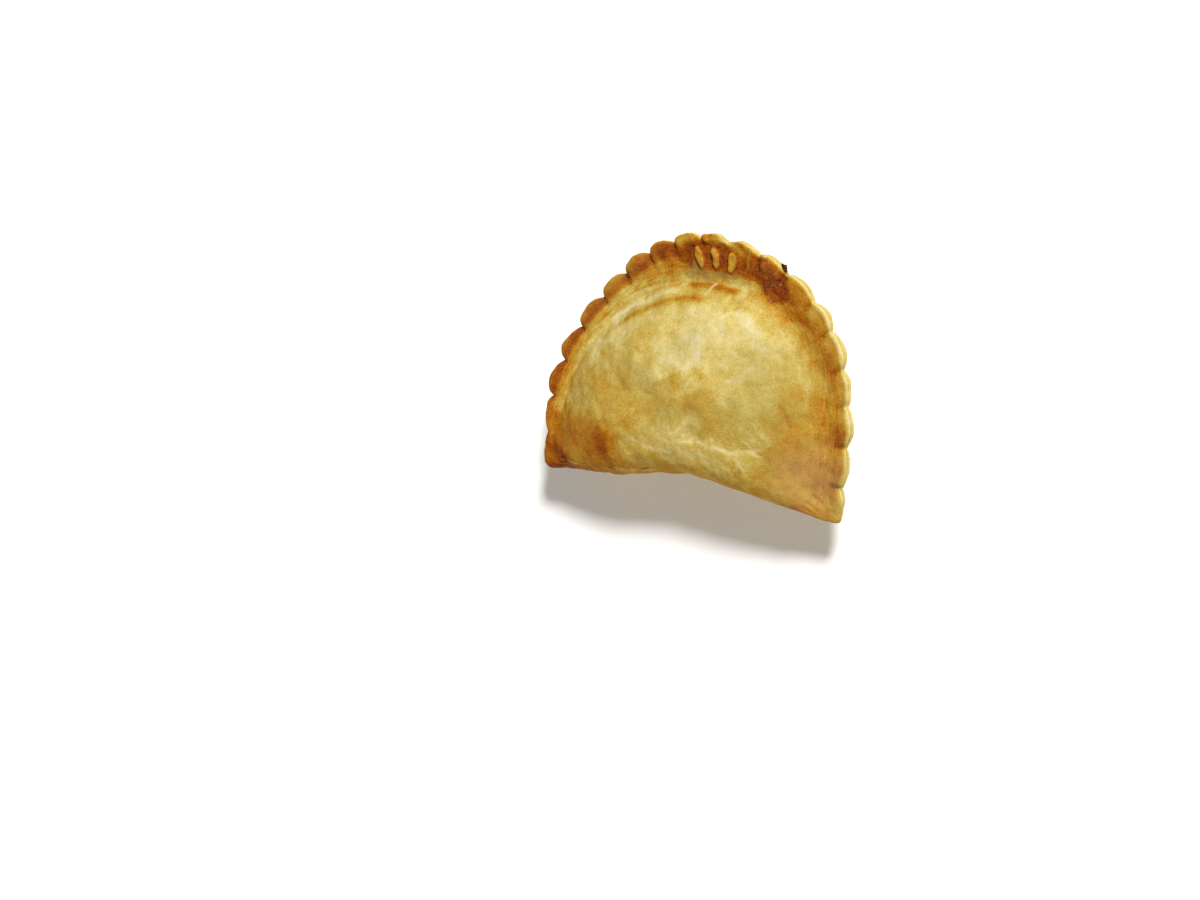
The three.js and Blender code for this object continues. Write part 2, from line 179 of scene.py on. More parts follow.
@dataclass(frozen=True)
class Plan:
    """The half-moon from above: half an ellipse on two short sides, closed by the fold.

    The pairs side_shares, tip_shares and rim_fades are for the left and the right of the arch.
    """

    width: float = 118.0
    depth: float = 89.0
    side: float = 18.0
    fold_dip: float = 8.0
    fold_bend: float = 6.0
    fold_middle: float = 3.0
    fold_sag: float = 1.5
    fold_sag_at: float = -26.0
    fold_sag_width: float = 15.0
    tip_round: float = 4.0
    lean: float = 3.4
    lean_power: float = 2.6
    scallops: int = 19
    scallop_depth: float = 1.9
    scallop_fullness: float = 0.6
    notch_wander: Unevenness = Unevenness(11, 30.0, 0.3)
    rim_width: float = 10.8
    side_shares: Pair = (0.62, 0.76)
    narrowing: Pair = (0.35, 0.75)
    tip_shares: Pair = (0.5, 0.75)
    rim_fades: Pair = (32.0, 14.0)
    seam_fade: float = 12.0
    panel_half: float = 12.5
    panel_soft: float = 6.0
    panel_extra_rim: float = 2.6
    panel_fade: float = 32.4
    hub: float = 36.0
    search_steps: int = 40

    @property
    def half(self) -> float:
        """Half the width of the arch."""
        return self.width / 2.0

    @property
    def rise(self) -> float:
        """Height of the arch above its straight sides."""
        return self.depth - self.side

    @property
    def turn_length(self) -> float:
        """Length of rim for each radian of the arch."""
        return (self.half + self.rise) / 2.0

    @property
    def half_arch(self) -> float:
        """Length of rim from the top of the arch to a tip."""
        return math.pi / 2.0 * self.turn_length + self.side

    @property
    def pitch(self) -> float:
        """Length of rim for each scallop."""
        return 2.0 * self.half_arch / self.scallops

    def arch_inset(self, x: Array, y: Array) -> Array:
        """Distance in from the smooth arch, in steps that follow its own shape."""
        up = np.maximum(0.0, y - self.side) / self.rise
        return self.half * (1.0 - np.hypot(x / self.half, up))

    def along_rim(self, x: Array, y: Array) -> Array:
        """Distance along the rim from the top of the arch.

        Args:
            x: plan coordinate along the fold.
            y: plan coordinate from the fold to the arch.

        Returns:
            Distances, positive to the right.
        """
        turning = self.turn_length * np.arctan2(x / self.half, (y - self.side) / self.rise)
        straight = np.sign(x) * (self.half_arch - y)
        return np.where(y > self.side, turning, straight)

    def arch_point(self, along: Array) -> tuple[Array, Array]:
        """Points of the smooth arch.

        Args:
            along: distances along the rim.

        Returns:
            Their x and y.
        """
        angle = np.clip(along / self.turn_length, -math.pi / 2.0, math.pi / 2.0)
        down = np.maximum(0.0, np.abs(along) - (self.half_arch - self.side))
        return self.half * np.sin(angle), self.side + self.rise * np.cos(angle) - down

    def past_bend(self, x: Array) -> Array:
        """How far a place along the fold is past its soft bend."""
        return np.hypot(x - self.fold_middle, self.fold_bend) - self.fold_bend

    def fold_line(self, x: Array) -> Array:
        """The fold, drawn in to its dip by a soft bend, with a sag on the left.

        Args:
            x: plan coordinate along the fold.

        Returns:
            Its y, about 0 at the tips.
        """
        tip = np.where(x > self.fold_middle, self.half, -self.half)
        sag = self.fold_sag * bell(x - self.fold_sag_at, self.fold_sag_width)
        return self.fold_dip * (1.0 - self.past_bend(x) / self.past_bend(tip)) - sag

    def scallop_turn(self, along: Array) -> Array:
        """Scallops passed since the left tip, with each notch a little off its place."""
        return (along + self.notch_wander.at(along) + self.half_arch) / self.pitch

    def scallop(self, along: Array) -> Array:
        """How round the scallop is at a place along the rim: 0 in a notch, 1 on the crest."""
        return np.abs(np.sin(math.pi * self.scallop_turn(along)))

    def lap(self, along: Array) -> Array:
        """Where along its scallop a place lies: 0.5 where it laps over the last one, -0.5 at its end."""
        return 0.5 - np.mod(self.scallop_turn(along), 1.0)

    def side_share(self, x: Array) -> Array:
        """0 on the left of the arch, 1 on the right."""
        return smooth(x, -self.half / 2.0, self.half / 2.0)

    def rim_share(self, x: Array, y: Array) -> Array:
        """How fully the rim's features show: 0 at the fold, 1 up the rim."""
        return smooth(y - self.fold_line(x), 0.0, lerp(*self.rim_fades, self.side_share(x)))

    def side_width(self, along: Array) -> Array:
        """The rim's width at a place along it, before it narrows to the tips."""
        share = np.where(along < 0.0, *self.side_shares)
        return self.rim_width * lerp(1.0, share, smooth(np.abs(along) / self.half_arch, *self.narrowing))

    def edge_inset(self, x: Array, y: Array, scallop_share: float = 1.0) -> Array:
        """Distance in from the outline with its rounded tips.

        Args:
            x: plan coordinate along the fold.
            y: plan coordinate from the fold to the arch.
            scallop_share: share of the scallops' depth that the outline has.

        Returns:
            Distances, below 0 outside the outline.
        """
        round_now = self.scallop(self.along_rim(x, y))
        notch = self.scallop_depth * (1.0 - round_now**self.scallop_fullness)
        depth = scallop_share * np.sqrt(self.rim_share(x, y))
        rim = self.arch_inset(x, y) - depth * notch
        return soft_min(rim, y - self.fold_line(x), self.tip_round)

    def reach(self, ray_x: Array, ray_y: Array, scallop_share: float) -> Array:
        """Length of each ray from the hub to the outline.

        Args:
            ray_x: x part of the unit rays.
            ray_y: y part of the unit rays.
            scallop_share: share of the scallops' depth that the outline has.

        Returns:
            One length for each ray.
        """
        near = np.zeros_like(ray_x)
        far = np.full_like(ray_x, self.width)
        for _ in range(self.search_steps):
            middle = (near + far) / 2.0
            inside = self.edge_inset(ray_x * middle, self.hub + ray_y * middle, scallop_share) > 0.0
            near = np.where(inside, middle, near)
            far = np.where(inside, far, middle)
        return near

    def place(self, x: Array, y: Array) -> Place:
        """Gathers what the skins need to know about points of the plan.

        Args:
            x: plan coordinate along the fold.
            y: plan coordinate from the fold to the arch.

        Returns:
            The points' places.
        """
        arch = self.arch_inset(x, y)
        fold = y - self.fold_line(x)
        side = self.side_share(x)
        along = self.along_rim(x, y)
        rim_share = self.rim_share(x, y)
        near_top = np.where(y > self.side, 1.0 - smooth(arch, self.rim_width, self.panel_fade), 0.0)
        ends = smooth(np.abs(x), self.panel_half - self.panel_soft, self.panel_half + self.panel_soft)
        panel = near_top * (1.0 - ends)
        wide = self.side_width(along) + self.panel_extra_rim * panel
        return Place(
            x=x,
            y=y,
            side=side,
            along=along,
            turn=along / self.half_arch,
            arch=arch,
            fold=fold,
            edge=self.edge_inset(x, y),
            scallop=self.scallop(along),
            lap=self.lap(along),
            rim_share=rim_share,
            rim_width=wide * lerp(lerp(*self.tip_shares, side), 1.0, rim_share),
            panel=panel,
            sealed=smooth(fold, 0.0, self.seam_fade),
        )

    def leaning(self, x: Array, y: Array) -> Array:
        """The x of plan points once the arch has bowed to the right."""
        return x + self.lean * np.sin(math.pi * np.clip(y / self.depth, 0.0, 1.0) ** self.lean_power)


@dataclass(frozen=True)
class Panel:
    """The pressed panel at the top of the arch, with three plain grains in relief."""

    depth: float = 0.8
    inset: float = 6.6
    reach: float = 4.5
    crimp_loss: float = 0.9
    grain_spacing: float = 8.0
    grain_length: float = 4.0
    grain_width: float = 2.7
    grain_height: float = 1.3
    grain_fan: float = 0.3
    grain_flat: float = 0.5

    def grains(self, place: Place) -> Array:
        """How far points stand on a grain.

        Args:
            place: the points of the plan.

        Returns:
            Values from 0 on the ground to 1 on a grain's top.
        """
        total = np.zeros_like(place.x)
        for side in (-1, 0, 1):
            across = place.along - side * self.grain_spacing
            width, length = turned(across, self.inset - place.arch, side * self.grain_fan)
            away = np.hypot(length / self.grain_length, width / self.grain_width)
            total += 1.0 - smooth(away, self.grain_flat, 1.0)
        return total

    def relief(self, place: Place) -> Array:
        """Height of the sunken ground and its grains."""
        ground = self.depth * place.panel * bell(place.arch - self.inset, self.reach)
        return self.grain_height * self.grains(place) - ground


@dataclass(frozen=True)
class Rim:
    """The crimped rim, from its outer edge inwards: scallops, pressed band, valley.

    Pairs are for the left and the right of the arch, but for band_runs_out, which is a range.
    """

    underside: float = 14.1
    thickness: float = 3.4
    lift: Pair = (1.8, 0.6)
    sway: float = 0.7
    sway_length: float = 17.0
    sway_start: float = 0.6
    sway_reach: float = 2.0
    band_runs_out: Pair = (0.0, 0.5)
    scallop_share: Pair = (0.42, 0.58)
    scallop_soft: float = 0.28
    scallop_crown: Pair = (1.4, 0.9)
    scallop_lap: float = 0.55
    crimp_depth: Pair = (1.1, 0.7)
    crimp_width: float = 0.34
    valley_depth: float = 0.7
    valley_width: float = 1.5
    edge: float = 0.9
    fold_edge: float = 1.35
    seam_depth: float = 0.4
    seam_level: float = 0.5
    seam_reach: float = 0.22

    @property
    def top(self) -> float:
        """Height of the rim's upper face above the table."""
        return self.underside + self.thickness

    def raised(self, place: Place) -> Array:
        """The rim's curl and sway.

        Args:
            place: the points of the plan.

        Returns:
            Heights above the rim's level plane.
        """
        inward = place.arch / place.rim_width
        curl = lerp(*self.lift, place.side) * np.clip(1.0 - inward, 0.0, 1.0)
        wave = self.sway * np.sin(place.along / self.sway_length + self.sway_start)
        return (curl + wave * np.clip(self.sway_reach - inward, 0.0, 1.0)) * place.rim_share

    def run_out(self, place: Place) -> Array:
        """How far the pressed band has run out: 0 on the left, 1 down the right side."""
        return smooth(place.turn, *self.band_runs_out)

    def past_scallops(self, place: Place) -> Array:
        """How far in past the scallops a place is, in rim widths."""
        return place.arch / place.rim_width - lerp(*self.scallop_share, self.run_out(place))

    def outer(self, place: Place, softer: float = 1.0) -> Array:
        """1 on the scallops, 0 on the pressed band."""
        soft = self.scallop_soft * softer
        return 1.0 - smooth(self.past_scallops(place), -soft, soft)

    def crimp(self, place: Place) -> Array:
        """1 in the groove that runs in from each notch."""
        return self.outer(place) * bell(place.scallop, self.crimp_width)

    def relief(self, panel: Panel, place: Place) -> Array:
        """Relief of the rim's upper face.

        Args:
            panel: the pressed panel at its top.
            place: the points of the plan.

        Returns:
            Heights above the smooth rim.
        """
        pressed = 1.0 - panel.crimp_loss * place.panel
        run_out = self.run_out(place)
        crown = lerp(*self.scallop_crown, run_out) * np.sqrt(place.scallop)
        lobes = (crown + self.scallop_lap * place.lap) * self.outer(place)
        crimp = lerp(*self.crimp_depth, run_out) * self.crimp(place)
        valley = self.valley_depth * bell(place.arch - place.rim_width, self.valley_width)
        return ((lobes - crimp) * pressed - valley + panel.relief(place)) * place.rim_share

    def edge_drop(self, place: Place) -> Array:
        """How far the rounded edges fall away near the outline.

        Args:
            place: the points of the plan.

        Returns:
            Depths, 0 away from the outline.
        """
        radius = lerp(self.fold_edge, self.edge, place.rim_share)
        short = radius - np.clip(place.edge, 0.0, radius)
        return radius - np.sqrt(radius * radius - short * short)


@dataclass(frozen=True)
class Lump:
    """A lump or dent of the filling under the skin."""

    x: float
    y: float
    size: float
    height: float

    def at(self, place: Place) -> Array:
        """Height of the lump at points of the plan."""
        return self.height * bell(np.hypot(place.x - self.x, place.y - self.y), self.size)


@dataclass(frozen=True)
class Crown:
    """The puffed middle: a shoulder, steeper on the right, then a long rise over the filling's lumps.

    Pairs are for the left and the right of the arch.
    """

    height: float = 36.0
    toe: float = 3.0
    shoulder_rise: Pair = (14.0, 11.0)
    shoulder_share: Pair = (0.16, 0.26)
    rise: Pair = (56.0, 44.0)
    fold_rise: float = 25.0
    fold_power: float = 2.5
    under_rise: float = 15.0
    under_lead: float = 3.0
    under_fold_rise: float = 9.0
    rest_cut: float = 0.6
    lumps: tuple[Lump, ...] = (
        Lump(-24, 46, 11, 1.6),
        Lump(-4, 53, 7, -1.7),
        Lump(8, 41, 9, 1.6),
        Lump(23, 48, 7, -1.5),
        Lump(31, 34, 9, 1.3),
        Lump(-13, 29, 8, -1.4),
        Lump(-33, 27, 9, 1.2),
        Lump(12, 21, 8, -1.1),
        Lump(14, 60, 7, 1.1),
    )

    def round_over(self, share: Array) -> Array:
        """A rise from 0 to 1 that starts upright, as the round of a fold does."""
        short = (1.0 - np.clip(share, 0.0, 1.0)) ** self.fold_power
        return (1.0 - short) ** (1.0 / self.fold_power)

    def share(self, place: Place) -> Array:
        """Share of the crown's height.

        Args:
            place: the points of the plan.

        Returns:
            Values from 0 at the rim and the fold to 1 on top.
        """
        inside = soft_ramp(place.arch - place.rim_width, self.toe)
        shoulder = ease_out(inside / lerp(*self.shoulder_rise, place.side))
        rise = ease_out(inside / lerp(*self.rise, place.side))
        puffed = lerp(rise, shoulder, lerp(*self.shoulder_share, place.side))
        return puffed * self.round_over(place.fold / self.fold_rise)

    def bumps(self, place: Place) -> Array:
        """Height of the filling's lumps and dents."""
        return sum(lump.at(place) for lump in self.lumps)

    def sunk(self, rim: Rim, place: Place) -> Array:
        """How far the underside lies below the rim's own.

        Args:
            rim: the crimped rim.
            place: the points of the plan.

        Returns:
            Depths, 0 under the rim.
        """
        from_rim = smooth(place.arch - place.rim_width, -self.under_lead, self.under_rise)
        fold = self.round_over(place.fold / self.under_fold_rise)
        return (rim.underside + self.rest_cut) * from_rim * fold


class Tone(Enum):
    """How far a patch of dough has browned, from raw to burnt."""

    RAW = 0.0
    CREAM = 0.12
    STRAW = 0.24
    GOLD = 0.38
    AMBER = 0.52
    BROWN = 0.66
    TOAST = 0.82
    BURNT = 1.0


@dataclass(frozen=True)
class Patch:
    """An oval patch of the upper face that differs from its surroundings."""

    what: str
    x: float
    y: float
    long: float
    short: float
    change: float
    turn: float = 0.0
    soft: float = 0.5

    def at(self, x: Array, y: Array) -> Array:
        """How strongly the patch shows.

        Args:
            x: plan coordinate along the fold.
            y: plan coordinate from the fold to the arch.

        Returns:
            Values from 0 to 1.
        """
        across, up = turned(x - self.x, y - self.y, -math.radians(self.turn))
        away = np.hypot(across / self.long, up / self.short)
        return 1.0 - smooth(away, 1.0 - self.soft, 1.0 + self.soft)


@dataclass(frozen=True)
class Patches:
    """Patches whose edges wander, so that none shows as an oval."""

    marks: tuple[Patch, ...]
    seed: int
    wander: float = 2.2
    wander_size: float = 11.0
    fray: float = 0.8
    fray_size: float = 3.4

    def at(self, x: Array, y: Array) -> Array:
        """The sum of the patches' changes.

        Args:
            x: plan coordinate along the fold.
            y: plan coordinate from the fold to the arch.

        Returns:
            One change for each point.
        """
        moved = []
        for axis, values in enumerate((x, y)):
            slow = Unevenness(self.seed + axis, self.wander_size, self.wander, Waves.SOME)
            quick = Unevenness(self.seed + axis + 2, self.fray_size, self.fray, Waves.SOME)
            moved.append(values + slow.at(x, y) + quick.at(x, y))
        return sum(patch.change * patch.at(*moved) for patch in self.marks)


@dataclass(frozen=True)
class Stroke:
    """A line worked into the upper face: a crease, a rib, a pleat or a stretch mark."""

    what: str
    points: tuple[Pair, ...]
    width: float
    relief: float = 0.0
    change: float = 0.0
    parted: float = 0.0
    wander: float = 0.0
    branches: int = 0


def rounded(points: Array, rounds: int = 3, cut: float = 0.25) -> Array:
    """Cuts the corners of a line, round after round.

    Args:
        points: its corners, one row each.
        rounds: how often they are cut.
        cut: the share of each straight stretch that is cut off at either end.

    Returns:
        The rounded line's points.
    """
    for _ in range(rounds):
        first, second = points[:-1], points[1:]
        cuts = np.stack([lerp(first, second, cut), lerp(first, second, 1.0 - cut)], 1).reshape(-1, 2)
        points = np.concatenate([points[:1], cuts, points[-1:]])
    return points


@dataclass(frozen=True)
class Strokes:
    """Every line worked into the upper face, with seeded wandering and branches."""

    seed: int = 5
    step: float = 1.1
    fewest_steps: int = 3
    branch_length: Pair = (2.5, 6.0)
    branch_turn: Pair = (0.5, 1.1)
    branch_width: float = 0.75
    fade_ends: Pair = (-0.02, 0.12)
    fray: float = 0.22
    fray_size: float = 5.0
    patch_size: float = 5.0
    patch_edge: Pair = (-1.6, 0.9)
    fold_fade: Pair = (0.4, 1.2)
    margin: float = 4.0
    marks: tuple[Stroke, ...] = (
        Stroke("shoulder crest", ((-36, 53), (-30, 57.5), (-20, 63.5), (-9, 67.2), (1, 66.5)),
               0.95, 0.3, 0.21),
        Stroke("pale foot of the shoulder", ((-40, 55), (-31, 61), (-22, 66), (-12, 69.3)),
               0.85, -0.15, -0.16, 0.2),
        Stroke("upper line of the band", ((-46, 50), (-37, 62.5), (-26, 69.3), (-13, 72.4)),
               0.4, -0.16, 0.1),
        Stroke("lower line of the band", ((-42, 54), (-33, 62.5), (-23, 68), (-12, 71)),
               0.4, -0.12, 0.08),
        Stroke("ledge", ((-11, 71), (-3, 71.6), (4, 71.4), (10.5, 70.3)), 1.1, 0.45, 0.3),
        Stroke("crack in the ledge", ((-1.6, 70), (0.6, 73)), 0.4, -0.15, 0.0, 0.8),
        Stroke("diagonal dent", ((36, 37.5), (39, 34), (41.5, 30)), 0.6, -0.25, 0.14),
        Stroke("left wrinkle", ((-50, 30), (-51.5, 20), (-51, 9)), 0.5, -0.12, -0.04, 0.0, 0.1),
        Stroke("left inner wrinkle", ((-47.5, 27), (-48.5, 18), (-47.5, 9)), 0.5, -0.12, -0.03, 0.0, 0.1),
        Stroke("upper pleat", ((49, 9.5), (52.5, 6.5)), 0.5, -0.3, 0.12),
        Stroke("middle pleat", ((47.5, 7), (51.5, 4)), 0.5, -0.3, 0.12),
        Stroke("lower pleat", ((46, 5), (50, 2.4)), 0.5, -0.25, 0.1),
        Stroke("line by the right corner", ((51.3, 13), (50.7, 8.6), (50.1, 5.9)),
               0.45, -0.05, 0.0, 0.35, 0.1),
        Stroke("left stretch mark", ((-15, 18.9), (-10.7, 16.8), (-4, 16.3), (2, 15.8)),
               0.6, -0.05, 0.0, 1.0, 0.1, 1),
        Stroke("long stretch mark", ((0, 20), (6, 20.7), (15, 21), (19.5, 19.9), (23.7, 19), (28, 20.3)),
               0.7, -0.05, 0.0, 1.0, 0.12, 3),
        Stroke("right end of the long stretch mark", ((27, 20), (31, 21.3), (35, 22.4)),
               0.5, -0.04, 0.0, 0.7, 0.12, 2),
        Stroke("stretch mark over its left end", ((-1.1, 23), (-0.4, 19.8)), 0.6, -0.05, 0.0, 0.9, 0.1),
        Stroke("fork", ((5.6, 27.6), (6.1, 26.3), (2.8, 23.7), (0, 22)), 0.65, -0.05, 0.0, 0.95, 0.1),
        Stroke("faint line over the fork", ((7, 32.5), (7.6, 29.5), (6.1, 26.8)),
               0.5, -0.04, 0.0, 0.3, 0.1),
        Stroke("lower stretch mark", ((2.8, 15.2), (8.6, 17), (14.3, 16.4)),
               0.8, -0.05, 0.0, 0.85, 0.12, 2),
        Stroke("short stretch mark", ((25, 18.4), (26.3, 16.7), (28.4, 14)),
               0.5, -0.04, 0.0, 0.85, 0.1, 1),
        Stroke("upper right stretch mark", ((28, 25), (29, 23.4), (30.4, 22)),
               0.45, -0.04, 0.0, 0.5, 0.12, 1),
        Stroke("pale speck", ((32.4, 28.2), (33.6, 26.2)), 0.6, -0.04, 0.0, 0.45, 0.1),
        Stroke("pale arc under the dent", ((-16, 51.5), (-12.3, 48.2), (-8, 45.9), (-3.6, 44.4), (3.5, 45)),
               1.3, 0.12, -0.05, 0.22, 0.1),
        Stroke("pale arc over the dent", ((-6, 54.4), (0.7, 53.9), (3.8, 51.6), (4.4, 48.5)),
               0.9, 0.1, -0.04, 0.2, 0.1),
        Stroke("left end's stretch mark", ((-46, 26), (-40, 28), (-35, 26)), 0.6, -0.04, 0.0, 0.25, 0.14),
        Stroke("right streak", ((27, 62), (35, 53.5), (40, 44)), 0.5, -0.04, -0.06, 0.2, 0.1),
        Stroke("inner right streak", ((24, 60), (32, 51), (37, 42)), 0.5, -0.04, -0.06, 0.2, 0.1),
        Stroke("outer right streak", ((36, 56), (41, 46), (43.5, 36)), 0.45, -0.04, -0.06, 0.15, 0.1),
        Stroke("ring", ((33.2, 15.6), (34.6, 17), (36, 15.8), (34.8, 14.2), (33.4, 15)), 0.35, -0.1, 0.1),
        Stroke("lip over the panel", ((-14.5, 84.4), (-10.5, 86.6), (-7, 86.2)), 0.8, 0.3, -0.22),
        Stroke("right lip over the panel", ((-4, 86.6), (1.5, 87.4), (7, 86.2), (11, 83.6)),
               0.8, 0.35, -0.24),
        Stroke("recess over the panel", ((-12, 83.4), (-6, 84.8), (0, 85), (6, 84.2)), 0.9, -0.35, 0.1),
        Stroke("right end of the panel", ((13.4, 83.6), (12.2, 80), (10.6, 76.8)), 0.7, 0.35, -0.12),
        Stroke("flaked edge", ((-48, 3.6), (-38, 4.6), (-27, 5)), 0.45, -0.14, -0.1, 0.4, 0.15),
        Stroke("flaked edge, inner end", ((-25, 5.4), (-16, 6.6), (-7, 8.6)),
               0.45, -0.12, -0.1, 0.4, 0.15),
    )

    def line(self, rng: np.random.Generator, points: Array, wander: float) -> Array:
        """A rounded line that wanders off its course.

        Args:
            rng: the seeded source of its wandering.
            points: the corners of its course.
            wander: how far it strays at each step.

        Returns:
            Points along the line, one row each.
        """
        course = rounded(points)
        reach = np.concatenate([[0.0], np.cumsum(np.linalg.norm(np.diff(course, axis=0), axis=1))])
        count = max(self.fewest_steps, round(reach[-1] / self.step))
        at = np.linspace(0.0, reach[-1], count + 1)
        line = np.stack([np.interp(at, reach, course[:, 0]), np.interp(at, reach, course[:, 1])], 1)
        stray = np.cumsum(rng.normal(size=(count + 1, 2)), axis=0) * wander
        stray -= lerp(stray[:1], stray[-1:], (at / reach[-1])[:, None])
        return line + stray

    def lines(self) -> list[tuple[Stroke, Array, float]]:
        """Draws every stroke and its branches.

        Returns:
            For each line its stroke, its points and its width.
        """
        rng = np.random.default_rng(self.seed)
        drawn = []
        for mark in self.marks:
            main_line = self.line(rng, np.array(mark.points, float), mark.wander)
            drawn.append((mark, main_line, mark.width))
            heading = math.atan2(*(main_line[-1] - main_line[0])[::-1])
            for _ in range(mark.branches):
                root = main_line[rng.integers(1, len(main_line) - 1)]
                angle = heading + rng.choice((-1.0, 1.0)) * rng.uniform(*self.branch_turn)
                tip = root + rng.uniform(*self.branch_length) * np.array([math.cos(angle), math.sin(angle)])
                branch = self.line(rng, np.array([root, tip]), mark.wander)
                drawn.append((mark, branch, mark.width * self.branch_width))
        return drawn

    def cover(self, points: Array, width: float, x: Array, y: Array) -> Array:
        """How far points of the plan lie on one line.

        Args:
            points: the line's own points.
            width: its width.
            x: plan coordinate along the fold.
            y: plan coordinate from the fold to the arch.

        Returns:
            Values from 0 off the line to 1 on its middle.
        """
        mask = np.zeros_like(x)
        last = len(points) - 1
        for index, (start, stop) in enumerate(zip(points[:-1], points[1:])):
            stretch = stop - start
            part = ((x - start[0]) * stretch[0] + (y - start[1]) * stretch[1]) / (stretch @ stretch)
            part = np.clip(part, 0.0, 1.0)
            away = np.hypot(x - start[0] - part * stretch[0], y - start[1] - part * stretch[1])
            share = (index + part) / last
            ends = smooth(np.minimum(share, 1.0 - share), *self.fade_ends)
            mask = np.maximum(mask, bell(away, width) * ends)
        return mask

    def work(self, x: Array, y: Array) -> dict[str, Array]:
        """Relief, browning and parting that the strokes add at points of the plan.

        Args:
            x: plan coordinate along the fold.
            y: plan coordinate from the fold to the arch.

        Returns:
            Arrays under the names relief, change and parted.
        """
        worked = {name: np.zeros_like(x) for name in ("relief", "change", "parted")}
        clouds = Unevenness(self.seed + 3, self.patch_size, waves=Waves.SOME)
        patchy = smooth(clouds.at(x, y), *self.patch_edge)
        frayed = [values + Unevenness(self.seed + axis, self.fray_size, self.fray, Waves.SOME).at(x, y)
                  for axis, values in ((1, x), (2, y))]
        for mark, points, width in self.lines():
            at_x, at_y = frayed if mark.wander else (x, y)
            margin = self.margin * width
            low, high = points.min(0) - margin, points.max(0) + margin
            near = (at_x > low[0]) & (at_x < high[0]) & (at_y > low[1]) & (at_y < high[1])
            cover = self.cover(points, width, at_x[near], at_y[near])
            if mark.wander:
                cover *= patchy[near]
            worked["relief"][near] += mark.relief * cover
            worked["change"][near] += mark.change * cover
            worked["parted"][near] = np.maximum(worked["parted"][near], mark.parted * cover)
        return worked


# Where the stations of the rim lie, as shares of the way from the top of the arch to a tip
STATION_TURNS = (-1.0, -0.7, -0.4, -0.2, 0.0, 0.21, 0.42, 0.7, 1.0)


@dataclass(frozen=True)
class Stations:
    """A value that changes along the rim, given at stations from the left tip to the right one."""

    at_left_tip: float
    left: float
    upper_left: float
    left_of_panel: float
    panel: float
    right_of_panel: float
    upper_right: float
    right: float
    at_right_tip: float

    def at(self, place: Place) -> Array:
        """The value at points of the plan."""
        return np.interp(place.turn, STATION_TURNS, astuple(self))


BROWNED = Patches((
    Patch("pale left flank", -44, 41, 3.6, 9, -0.08, -20, 0.8),
    Patch("gold of the left", -33, 34, 13, 5.5, 0.08, 8, 0.8),
    Patch("gold under the left shoulder", -23, 43, 8, 4, 0.04, 25, 0.8),
    Patch("pale left shoulder", -30, 53, 12, 4, -0.17, 38, 0.8),
    Patch("gold of the left middle", -14, 34, 8, 5, 0.03, -15, 0.8),
    Patch("gold of the lower left", -15, 26, 8, 4, 0.1, -20, 0.7),
    Patch("gold left of the stretch marks", -9, 18, 7, 4, 0.06, -10, 0.8),
    Patch("gold of the middle", 8, 33, 12, 4, 0.05, 3, 0.8),
    Patch("gold of the right middle", 18, 29, 9, 4.5, 0.07, -15, 0.8),
    Patch("pale top", 0, 57, 13, 5.5, -0.14, -8, 0.8),
    Patch("pale upper right", 22, 57, 10, 4.5, -0.2, -30, 0.8),
    Patch("pale brow", 8, 64.5, 9, 3, -0.1, -8, 0.8),
    Patch("pale middle", 13, 47, 13, 4.5, -0.15, 0, 0.8),
    Patch("pale crest under the middle", 2, 40.8, 8, 1.8, -0.06, -3, 0.7),
    Patch("pale shoulder of the right", 16, 64.2, 9, 2, -0.1, -16, 0.7),
    Patch("pale left of the middle", -6, 47, 10, 5, -0.12, 10, 0.8),
    Patch("pale by the stretch marks", 6, 24, 9, 4.5, -0.05, 15, 0.8),
    Patch("pale lower middle", 6, 15, 17, 4, -0.05, 3, 0.8),
    Patch("right flank", 44, 27, 8, 12, 0.2, 8, 0.7),
    Patch("right corner", 46, 13, 10, 10, 0.2, 0, 0.7),
    Patch("lower right edge", 32, 7, 20, 3, 0.1, -11, 0.8),
    Patch("gold along the left of the fold", -12, 9.5, 15, 5, 0.11, 10, 0.8),
    Patch("gold over the bend of the fold", 6, 10, 12, 3, 0.06, -4, 0.8),
    Patch("brow of the crown", -6, 67, 10, 1.8, 0.06, 2, 0.7),
    Patch("brown left of the panel", -19, 77, 10, 5, 0.13, 24, 0.6),
), 41, fray=0.5)

BROWN_AND_SHADED_CORNER = Patches((
    Patch("left corner", -40, 11.5, 18.5, 10.5, 0.25, -2, 0.35),
    Patch("dark of the left corner", -27.5, 13, 7, 6.5, 0.09, 0, 0.8),
    Patch("top of the left corner", -25.5, 19, 5, 4, 0.12, 0, 0.6),
    Patch("over the left corner", -48, 22, 3.5, 4, 0.05, 0, 0.7),
    # Painted shade with real browning: the left tip and the foot of the left fold darken where the fold's
    # wall lies in shade.
    Patch("left tip", -54, 4, 9, 5, 0.26, 0, 0.6),
    Patch("shaded brown foot of the left fold", -44, -0.5, 20, 3, 0.22, 3, 0.6),
), 61, wander=0.8, fray=0.5)

BROWN_RIM = Patches((
    Patch("below the toasted rim", 28.5, 68, 9, 2.6, 0.1, -42, 0.5),
    Patch("beside the toasted rim", 34, 66, 9, 3, 0.05, -50, 0.6),
    Patch("pale right foot of the panel", 9.5, 73.6, 5, 2.6, -0.2, -10, 0.5),
    Patch("pale end of the ledge", 12, 70.4, 2.6, 1.5, -0.16, -15, 0.5),
), 45, wander=0.6, fray=0.35)

TOASTED = Patches((
    Patch("toasted rim", 20.2, 77, 8.4, 4.8, 0.2, -42, 0.3),
    Patch("ground of the panel", -1, 80.6, 12, 3.2, 0.1, 0, 0.4),
), 43, wander=0.6, fray=0.35)

DRIED = Patches((
    Patch("right corner", 48, 13, 11, 11, 0.17, 0, 0.7),
), 55, wander=1.0, fray=0.25)

